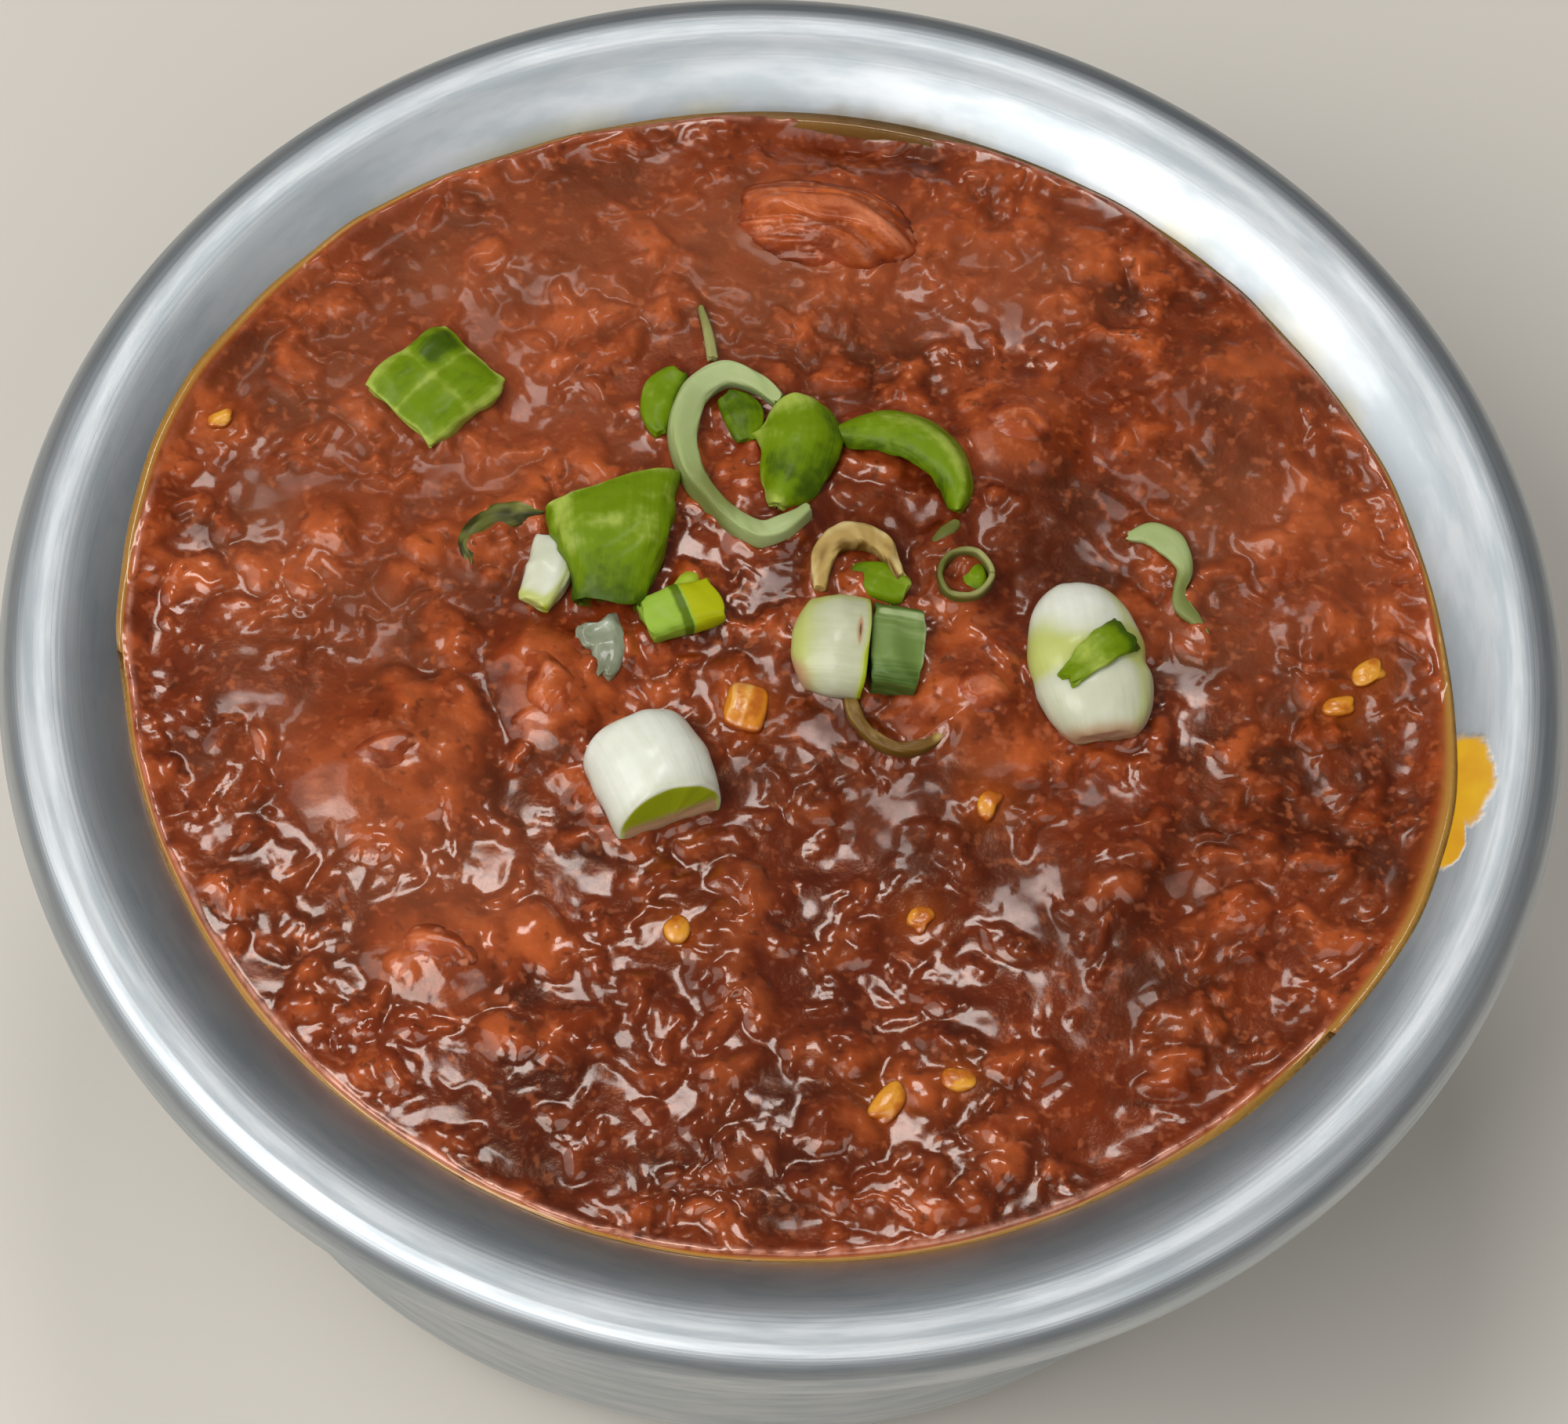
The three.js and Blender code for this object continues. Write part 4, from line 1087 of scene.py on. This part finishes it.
def ribbed_shape(t, a, wide, thick, raise_by):
    """The outer leaf's ribs stand out all round."""
    ribs = 0.02 * np.cos(a * 14)
    return wide * (1 + ribs * 0.3), thick * (1 + ribs), raise_by


def leafy_shape(t, a, wide, thick, raise_by):
    """The sides wander, the ends are rounded, and the whole leaf waves a little."""
    wave = 0.22 * ripple(t * 4 + 3, np.cos(a) * 1.5 + 8)
    ends = np.sqrt(np.clip(1 - (2 * t - 1) ** 6 * 0.5, 0, 1))
    sides = 1 + 0.05 * ripple(t * 7 + 2, np.sign(np.cos(a)) * 2.0)
    return wide * ends * sides, thick, raise_by + wave


# each tube or leaf: its solid, path, widths, thicknesses and the rest of what shapes it
green_pieces = {
    "squashed_tube": dict(
        node="tube_flat", path=[(-37.7, 18.9, 1.1), (-34.8, 22.5, 1.3), (-31.9, 26.2, 1.1)],
        w=[9.4, 9.5, 9.0], h=2.8, square=1.5, sides=64, steps=18, wall=0.5, shape=squashed_shape,
        tone_and_painted_light=lambda t, s, u, c: 0.6 * bell(s, 1.0, 0.2) + 0.6 * bell(s, -1.0, 0.16)
        + 0.55 * bell(t, 0.0, 0.05) + 0.45 * bell(t, 1.0, 0.05) + 0.38 * bell(s, 0.12, 0.08)
        + 0.28 * bell(t, 0.5, 0.05) - 0.4 * step_at(t, 0.55, 0.1) * step_at(s, 0.3, 0.15) - 0.08,
    ),
    "kinked_tube": dict(
        node="tube_big",
        path=[(-17.5, 13.2, 1.7), (-17.0, 9.6, 2.0), (-16.5, 5.6, 1.8), (-16.4, 1.9, 1.2)],
        w=[12.0, 10.9, 8.4, 5.8], h=[4.4, 4.9, 4.6, 3.4], slant=[-0.36, -0.2, 0, 0],
        square=1.35, sides=64, steps=22, wall=0.5, shape=folded_shape,
        # painted highlight: a pale band across the kink; painted shade: the far end darker where it
        # bends away
        tone_and_painted_light=lambda t, s, u, c: 0.6 * bell(s, -0.85, 0.2) * (1 - t) - 0.3 * bell(s, -1.0, 0.08)
        + 0.55 * bell(t, 0.40, 0.07) * bell(s, -0.1, 0.4) - 0.5 * step_at(t, 0.75, 0.4)
        + 0.3 * bell(t, 0.0, 0.04) + 0.15 * bell(s, 0.7, 0.3) - 0.05,
    ),
    "ribbed_section": dict(
        node="dome_green", path=[(7.4, 0.7, 1.3), (9.6, 0.8, 1.3), (11.8, 0.9, 1.0)],
        w=[8.4, 8.2, 7.7], h=[4.6, 4.6, 3.8], square=1.8, sides=48, steps=10,
        shape=ribbed_shape, finish=ribbed_skin,
        # the pale band by the back edge is partly its cut rim and partly a painted highlight; the
        # dark strip beyond it is painted shade for the tube's inside
        tone_and_painted_light=lambda t, s, u, c: 0.05 + 1.1 * bell(s, 0.72, 0.07) * step_at(t, 0.15, 0.1)
        - 0.6 * step_at(s, 0.86, 0.06) + 0.5 * bell(t, 0.98, 0.05) - 0.5 * step_at(-s, 0.55, 0.5)
        - 0.5 * bell(t, 0.0, 0.06),
    ),
    "two_tone_section": dict(
        node="section_small", path=[(-12.8, 0.6, 0.9), (-10.0, 2.2, 1.2), (-6.9, 3.9, 0.9)],
        w=[4.1, 4.6, 4.4], h=[2.4, 2.9, 2.4], square=1.6, sides=32, steps=16,
        shape=ribbed_shape, finish=lime_skin,
        tone_and_painted_light=lambda t, s, u, c: 0.9 * step_at(t, 0.56, 0.08) - 1.3 * bell(t, 0.52, 0.05)
        - 0.25 * bell(s, -0.9, 0.2) - 0.5 * bell(t, 0.98, 0.03),
    ),
    "section_tip": dict(
        path=[(-10.0, 4.3, 0.5), (-9.5, 5.6, 0.6), (-9.2, 6.6, 0.3)], w=[2.6, 2.2, 1.0],
        h=[1.6, 1.2, 0.6], sides=20, steps=8, shape=leafy_shape, finish=lime_skin,
        tone_and_painted_light=lambda t, s, u, c: 0.1 + 0.3 * t,
    ),
    "folded_leaf": dict(
        node="leaf_fold",
        path=[(-2.3, 25.2, 1.5), (-1.3, 21.9, 2.1), (-1.6, 17.8, 1.4), (-2.6, 14.2, 0.6)],
        w=[5.4, 8.4, 6.6, 2.8], h=[1.0, 1.1, 1.0, 0.8], camber=1.4, sides=48, steps=24,
        shape=leafy_shape,
        tone_and_painted_light=lambda t, s, u, c: 0.75 * bell(t, 0.0, 0.16) + 0.55 * bell(t, 1.0, 0.12)
        - 0.35 * bell(t, 0.68, 0.16) + 0.35 * bell(s, -0.95, 0.12) - 0.25 * step_at(s, 0.5, 0.4),
    ),
    "arched_leaf": dict(
        node="leaf_arch",
        path=[(2.3, 22.7, 0.9), (6.1, 23.7, 1.6), (9.4, 23.0, 2.0), (12.1, 21.2, 1.8),
              (13.4, 18.8, 1.2), (13.4, 16.4, 0.6)],
        w=[3.4, 5.2, 5.6, 4.8, 3.6, 1.8], h=[0.9, 1.1, 1.2, 1.1, 1.0, 0.8], camber=1.1,
        lean=-14, sides=44, steps=32, shape=leafy_shape,
        # painted highlight along the raised middle, and painted shade along the inner edge
        tone_and_painted_light=lambda t, s, u, c: 0.05 + 0.45 * bell(s, 0.05, 0.28) * bell(t, 0.58, 0.35)
        - 0.35 * bell(s, -0.9, 0.25) - 0.2 * bell(t, 0.0, 0.2),
    ),
    "leaf_behind_ring": dict(
        node="leaf_behind",
        path=[(-13.0, 27.4, 0.6), (-14.3, 25.2, 0.8), (-14.5, 22.4, 0.6), (-13.9, 20.6, 0.3)],
        w=[2.4, 3.6, 3.0, 1.6], h=1.3, sides=24, steps=12, shape=leafy_shape,
        tone_and_painted_light=lambda t, s, u, c: 0.20 * bell(t, 0.5, 0.3) - 0.4 * bell(s, 0.9, 0.3) - 0.1,
    ),
    "leaf_within_ring": dict(
        node="leaf_in_ring", path=[(-8.6, 25.2, 0.5), (-6.8, 23.8, 0.7), (-6.1, 20.9, 0.5)],
        w=[2.4, 4.0, 2.6], h=1.4, sides=24, steps=10, shape=leafy_shape,
        # darker all over: painted shade for a leaf lying inside the ring
        tone_and_painted_light=lambda t, s, u, c: -0.35 + 0 * t,
    ),
    "golden_ring_leaf": dict(
        node="leaf_inner", path=[(4.8, 8.3, 0.5), (7.2, 7.8, 0.9), (9.9, 6.9, 0.7)],
        w=[2.2, 3.9, 2.8], h=[1.4, 2.0, 1.6], sides=24, steps=12, shape=leafy_shape,
        tone_and_painted_light=lambda t, s, u, c: -0.05 - 0.3 * bell(t, 0.0, 0.3) + 0.3 * bell(t, 1.0, 0.1),
    ),
    "small_ring_leaf": dict(
        path=[(15.3, 7.9, 0.4), (16.0, 9.5, 0.7), (15.7, 11.2, 0.4)], w=[1.4, 2.4, 1.3],
        h=[0.8, 1.2, 0.8], sides=20, steps=8, shape=leafy_shape,
        tone_and_painted_light=lambda t, s, u, c: -0.25 + 0.3 * bell(t, 0.5, 0.25),
    ),
}
for name, form in green_pieces.items():
    finishes = [green_skin, green_inside, cut_edge] if "wall" in form else [green_skin]
    if "finish" in form:
        finishes = [form["finish"]]
    make_piece(name, form, finishes)

# ---------- pale rings and curls ----------
# Thin slices from lower down the stalk, where the leaves turn from green to white. They lie as
# rings and opened curls. The flesh is pale and a little see-through, with a satin skin.
see_through = {"Subsurface_Weight": 0.3, "Subsurface_Scale": 1.0}
pale_skin = onion_finish(
    "pale_skin", linear(124, 132, 70), linear(160, 174, 114), linear(188, 200, 148),
    amount=0.5, veined=0.2, mottled=0.35, **see_through
)
golden_skin = onion_finish(
    "golden_skin", linear(112, 80, 26), linear(182, 152, 88), linear(210, 188, 132),
    amount=0.7, veined=0.3, **see_through
)
olive_skin = onion_finish(
    "olive_skin", linear(52, 52, 12), linear(98, 100, 38), linear(158, 156, 96), amount=0.75
)
clear_skin = onion_finish(
    "clear_skin", linear(104, 104, 78), linear(146, 152, 128), linear(196, 204, 186), amount=0.85,
    mottled=1.4, Roughness=0.3, Coat_Weight=0.5, **see_through
)
for finish in (pale_skin, golden_skin, clear_skin):
    skin_shader = finish.node_tree.nodes["Principled BSDF"]
    skin_shader.inputs["Subsurface Radius"].default_value = (0.0010, 0.0012, 0.0006)


def sliced_shape(t, a, wide, thick, raise_by):
    """A slice's width wanders a little."""
    return wide * (1 + 0.06 * ripple(t * 9 + 4, a * 0.3 + 2)), thick, raise_by


pale_pieces = {
    "large_ring": dict(
        node="ring_large", slot="onion_pale", finish=pale_skin,
        path=[(-3.6, 25.2, 1.1), (-6.1, 26.8, 1.2), (-9.0, 27.2, 1.3), (-11.3, 25.0, 1.4),
              (-12.0, 20.8, 1.4), (-10.9, 16.8, 1.4), (-8.7, 13.8, 1.2), (-6.2, 11.8, 1.0),
              (-3.6, 10.9, 0.8), (-1.4, 12.0, 0.8), (0.3, 13.9, 0.7)],
        w=[1.2, 1.8, 2.4, 2.8, 2.7, 2.0, 1.5, 1.7, 2.1, 1.9, 1.0], h=2.4, lean=-12,
        square=2.4, sides=28, steps=70, shape=sliced_shape,
        # the underside is darker: painted shade
        tone_and_painted_light=lambda t, s, u, c: 0.08 - 0.7 * bell(t, 0.60, 0.10) + 0.15 * bell(t, 0.85, 0.08)
        + 0.25 * bell(t, 0.22, 0.12) - 0.3 * step_at(-u, 0.0, 0.6),
    ),
    "small_ring": dict(
        node="ring_small", slot="onion_pale", finish=olive_skin, loop=True,
        path=[(17.4, 10.0, 1.0), (15.8, 12.0, 1.0), (13.6, 11.4, 1.0), (12.7, 9.2, 1.0),
              (13.8, 7.2, 1.0), (16.2, 7.6, 1.0)],
        w=0.6, h=2.0, square=1.8, sides=20, steps=64, shape=sliced_shape,
        # the top is lighter: painted light
        tone_and_painted_light=lambda t, s, u, c: 0.1 + 0.4 * bell(u, 1.0, 0.4) - 0.5 * bell(t, 0.5, 0.2),
    ),
    "small_stem": dict(
        node="stem_small", slot="onion_green", finish=olive_skin,
        path=[(12.0, 12.6, 0.4), (12.9, 14.0, 0.6), (13.9, 15.4, 0.5)], w=[1.3, 1.5, 0.9],
        h=0.8, sides=16, steps=8, tone_and_painted_light=lambda t, s, u, c: -0.2 + 0.3 * t,
    ),
    "thin_tail": dict(
        node="strip_thin", slot="onion_pale", finish=olive_skin,
        path=[(-12.0, 34.8, 0.4), (-11.0, 32.2, 0.6), (-10.2, 29.2, 0.8)],
        w=[0.5, 1.0, 1.1], h=0.8, sides=16, steps=12, tone_and_painted_light=lambda t, s, u, c: 0.35 + 0.2 * t,
    ),
    "curled_leaf": dict(
        node="leaf_curl", slot="onion_pale", finish=pale_skin,
        path=[(29.4, 16.4, 0.2), (31.3, 16.7, 0.9), (33.3, 15.6, 1.3), (34.7, 13.5, 1.0),
              (34.4, 11.4, 0.9), (34.8, 9.8, 0.8), (36.0, 8.6, 0.6), (37.3, 7.3, 0.2)],
        w=[1.1, 2.7, 3.0, 1.6, 1.2, 2.0, 1.4, 0.5], h=0.8, sides=20, steps=40,
        shape=leafy_shape,
        tone_and_painted_light=lambda t, s, u, c: 0.05 - 0.6 * step_at(t, 0.45, 0.2) - 0.3 * bell(s, 0.9, 0.3),
    ),
    "translucent_bit": dict(
        node="bit_pale", slot="onion_pale", finish=clear_skin,
        path=[(-17.4, 0.2, 0.4), (-15.9, -1.8, 0.6), (-16.1, -4.6, 0.3)],
        w=[5.6, 3.2, 2.2], h=[1.1, 1.5, 1.1], sides=24, steps=14, shape=leafy_shape,
        worn=2.5, tone_and_painted_light=lambda t, s, u, c: -0.2 + 0.5 * bell(t, 0.15, 0.2) * bell(s, 0.5, 0.5),
    ),
    "golden_ring": dict(
        node="ring_golden", slot="onion_golden", finish=golden_skin,
        path=[(2.2, 5.9, 0.8), (2.0, 8.4, 1.0), (2.9, 10.8, 1.1), (4.8, 12.0, 1.1),
              (6.8, 11.6, 1.0), (8.2, 10.0, 0.9), (9.3, 8.2, 0.8)],
        w=[1.3, 2.0, 2.3, 2.5, 2.2, 1.6, 1.0], h=2.3, square=2.2, sides=24, steps=44,
        shape=sliced_shape, worn=2.2,
        # the inner side and the underside are darker: painted shade
        tone_and_painted_light=lambda t, s, u, c: 0.1 - 0.5 * bell(s, -1.0, 0.5) - 0.3 * step_at(-u, 0.0, 0.6)
        + 0.5 * ripple(t * 9 + 2, s * 1.5 + 6),
    ),
    "pale_strand": dict(
        node="strand_pale", slot="onion_golden", finish=golden_skin,
        path=[(15.8, 5.0, 0.5), (17.9, 3.9, 0.7), (20.0, 1.1, 0.5)],
        w=[0.7, 1.1, 0.7], h=1.3, sides=16, steps=14, tone_and_painted_light=lambda t, s, u, c: -0.1 + 0 * t,
    ),
    "half_curl": dict(
        node="curl_half", slot="onion_green", finish=golden_skin, worn=2.2,
        path=[(6.0, -3.6, 0.5), (6.9, -5.9, 0.6), (8.8, -7.9, 0.7), (11.3, -8.6, 0.8),
              (13.7, -7.6, 0.7), (15.4, -5.4, 0.4)],
        w=[1.3, 1.4, 1.3, 1.2, 1.1, 0.8], h=1.7, square=2.0, sides=20, steps=34,
        shape=sliced_shape,
        tone_and_painted_light=lambda t, s, u, c: -0.7 + 0.7 * bell(t, 0.9, 0.12) + 0.5 * ripple(t * 8, s + 3),
    ),
    "wilted_tail": dict(
        node="tail_dark", slot="onion_dark", finish=olive_skin,
        path=[(-23.9, 11.1, 0.6), (-26.4, 10.5, 0.6), (-28.8, 9.0, 0.5), (-29.9, 7.0, 0.4),
              (-29.4, 5.2, 0.2)],
        w=[2.4, 2.6, 2.3, 1.8, 0.9], h=1.0, sides=24, steps=28, shape=leafy_shape, worn=3.2,
        tone_and_painted_light=lambda t, s, u, c: -0.25 + 0.7 * ripple(t * 7 + 3, s * 1.6 + 5),
    ),
}
for name, form in pale_pieces.items():
    make_piece(name, form, [form["finish"]])

# ---------- white stalks ----------
# Thick white lengths from the foot of the spring onion: a lying cylinder, an oval of two halves,
# and a rounded end. The flesh is firm, moist and a little see-through, and turns yellow-green
# where the leaves begin. A strip of green leaf lies over the oval.
white_skin = onion_finish(
    "white_skin", linear(172, 174, 124), linear(206, 208, 184), linear(238, 240, 230),
    amount=0.35, veined=0.22, per_mm=1.6, mottled=0.3, Roughness=0.36, Coat_Weight=0.2,
    Subsurface_Weight=0.45, Subsurface_Scale=1.0,
)
white_skin.node_tree.nodes["Principled BSDF"].inputs["Subsurface Radius"].default_value = (
    0.0020, 0.0020, 0.0013
)
tinted(white_skin, "leafward", [linear(188, 194, 110), linear(162, 178, 22)])
tinted(white_skin, "browned", [linear(186, 148, 112), linear(92, 78, 50)])


def cylinder_shape(t, a, wide, thick, raise_by):
    """The far end is rounded over, and the near one is cut square."""
    rounded = np.sqrt(np.clip(1 - (1 - np.clip(t / 0.25, 0, 1)) ** 2 * 0.45, 0, 1))
    return wide * rounded, thick * rounded, raise_by


def halves_shape(t, a, wide, thick, raise_by):
    """A groove runs across between the two halves."""
    groove = bell(t, 0.55, 0.05) * (np.sin(a) > -0.2)
    ends = np.sqrt(np.clip(1 - (2 * t - 1) ** 4 * 0.35, 0, 1))
    return wide * ends * (1 - 0.06 * groove), thick * ends, raise_by - 0.7 * groove


def dome_shape(t, a, wide, thick, raise_by):
    """The far end is rounded like a bulb."""
    rounded = np.sqrt(np.clip(t / 0.3, 0.02, 1)) ** 0.6
    return wide * rounded, thick * rounded, raise_by


white_pieces = {
    "white_cylinder": dict(
        node="onion_white",
        path=[(-13.1, -10.3, 1.2), (-10.5, -14.3, 1.4), (-8.2, -18.3, 1.2)],
        w=[9.6, 11.0, 9.8], h=[7.2, 8.4, 8.2], rake=[0, -0.15, -0.32], square=1.0,
        shape=cylinder_shape, worn=0.35,
        # the underside is darker: painted shade
        tone_and_painted_light=lambda t, s, u, c: 0.36 - 0.35 * step_at(-u, 0.1, 0.7) - 0.2 * bell(t, 0.95, 0.1),
        leafward=lambda t, s, u, c: (t > 0.97) * step_at(c, 0.06, 0.06) * step_at(u, 0.1, 0.5)
        + 0.4 * (t > 0.97) * step_at(c, 0.03, 0.06),
        browned=lambda t, s, u, c: 0.7 * (t > 0.97) * step_at(c, 0.10, 0.08)
        * step_at(-u, -0.1, 0.5),
    ),
    "white_halves": dict(
        node="onion_oval",
        path=[(25.2, 9.4, 1.2), (25.6, 6.8, 1.6), (26.4, 3.3, 1.8), (27.5, 0.2, 1.8),
              (28.5, -2.6, 1.6), (29.1, -4.9, 1.2)],
        w=[6.0, 9.2, 10.4, 10.9, 9.8, 7.0], h=[4.2, 5.8, 6.7, 6.9, 6.2, 4.6], square=1.15,
        shape=halves_shape, worn=0.5,
        tone_and_painted_light=lambda t, s, u, c: 0.28 * bell(t, 0.2, 0.18) - 0.15 * step_at(t, 0.6, 0.1)
        + 0.1 * bell(s, -0.3, 0.5),
        leafward=lambda t, s, u, c: 0.45 * bell(t, 0.47, 0.09) + 0.3 * bell(s, 0.8, 0.2)
        + 0.3 * bell(t, 0.35, 0.12) * bell(s, -0.9, 0.5),
        browned=lambda t, s, u, c: 0.45 * step_at(-u, 0.15, 0.5) + 0.35 * bell(t, 1.0, 0.1),
    ),
    "white_dome": dict(
        node="onion_dome",
        path=[(0.5, 0.4, 0.9), (1.8, 0.4, 1.3), (4.2, 0.5, 1.6), (6.9, 0.6, 1.5)],
        w=[5.4, 8.8, 10.0, 9.8], h=[3.4, 5.0, 5.9, 5.9], square=1.05,
        shape=dome_shape, worn=0.4,
        tone_and_painted_light=lambda t, s, u, c: 0.15 * bell(t, 0.6, 0.25) - 0.25 * bell(t, 0.0, 0.3) - 0.34,
        leafward=lambda t, s, u, c: 0.55 * bell(t, 0.0, 0.45) + 0.65 * bell(t, 1.0, 0.06)
        + 0.9 * step_at(-s, 0.3, 0.3) * bell(t, 0.97, 0.05) + 0.3 * bell(s, 0.95, 0.25),
        browned=lambda t, s, u, c: 1.1 * bell(t, 0.86, 0.022) * bell(s, 0.05, 0.24) * (u > 0)
        + 0.45 * bell(t, 0.25, 0.2) * bell(s, -0.95, 0.3),
    ),
    "white_cut_wedge": dict(
        node="white_wedge", path=[(-22.5, 8.1, 0.8), (-22.1, 4.6, 1.1), (-23.1, 1.3, 0.7)],
        w=[3.0, 4.3, 3.0], h=[2.0, 2.8, 2.0], square=1.5,
        tone_and_painted_light=lambda t, s, u, c: 0.05 + 0.15 * bell(s, 0.3, 0.5),
        leafward=lambda t, s, u, c: 0.55 * bell(t, 1.0, 0.18) + 0.3 * bell(s, 0.8, 0.25),
    ),
}
white_made = {}
for name, form in white_pieces.items():
    form = {"sides": 48, "steps": 18, **form}
    white_made[name] = make_piece(name, form, [white_skin])

# the strip of leaf is laid on the oval's skin from above
STRIP_LIFT = 0.3
oval_leaf = make_piece("oval_leaf", dict(
    node="oval_stripe",
    path=[(x, y, STRIP_LIFT) for x, y in ((25.0, -1.3), (26.4, 0.5), (28.1, 2.3), (29.8, 4.1))],
    w=[2.2, 2.9, 3.3, 3.6], h=0.8, sides=32, steps=20, worn=2.0,
    tone_and_painted_light=lambda t, s, u, c: 0.1 - 0.7 * bell(t, 0.97, 0.15) + 0.3 * bell(t, 0.4, 0.2),
), [green_skin])
points = read_points(oval_leaf)
above = points[:, 2] - curry_level(points[:, 0] / MM, points[:, 1] / MM) * MM
oval_skin = BVHTree.FromObject(white_made["white_halves"], bpy.context.evaluated_depsgraph_get())
for point, height in zip(points, above):
    under = oval_skin.ray_cast(Vector((point[0], point[1], 1.0)), Vector((0, 0, -1)))[0]
    point[2] = under.z + height
move_points(oval_leaf, points)
note(oval_leaf, "wet", np.zeros(len(points)))

# ---------- where the curry meets the onion ----------
# The thick sauce wets the onion and is drawn up round it in an uneven shiny rim.
sunk_onion = bmesh.new()
for piece in onion_pieces:
    sunk_onion.from_mesh(piece.data)
onion_skin = BVHTree.FromBMesh(sunk_onion)
sunk_onion.free()
DRAWN_REACH = 1.6                          # the sauce is drawn up within this of the onion
DRAWN_HIGH = 0.55
FAR_AWAY = 9.0
points = read_points(curry)
gap = np.full(len(points), FAR_AWAY)
for index in np.flatnonzero(layer == 0):
    distance = onion_skin.find_nearest(points[index], DRAWN_REACH * MM)[3]
    if distance is not None:
        gap[index] = distance / MM
x, y = points[:, 0] / MM, points[:, 1] / MM
uneven = np.clip(0.75 + 0.6 * ripple(x / 1.3 + 4, y / 1.3 + 27), 0.1, 1.3)
points[:, 2] += DRAWN_HIGH * MM * bell(gap, 0, 0.75) * uneven
move_points(curry, points)
wetness = read_note(curry, "wetness") + 0.35 * bell(gap, 0, 1.1) * uneven
note(curry, "wetness", np.clip(wetness, 0, 1))
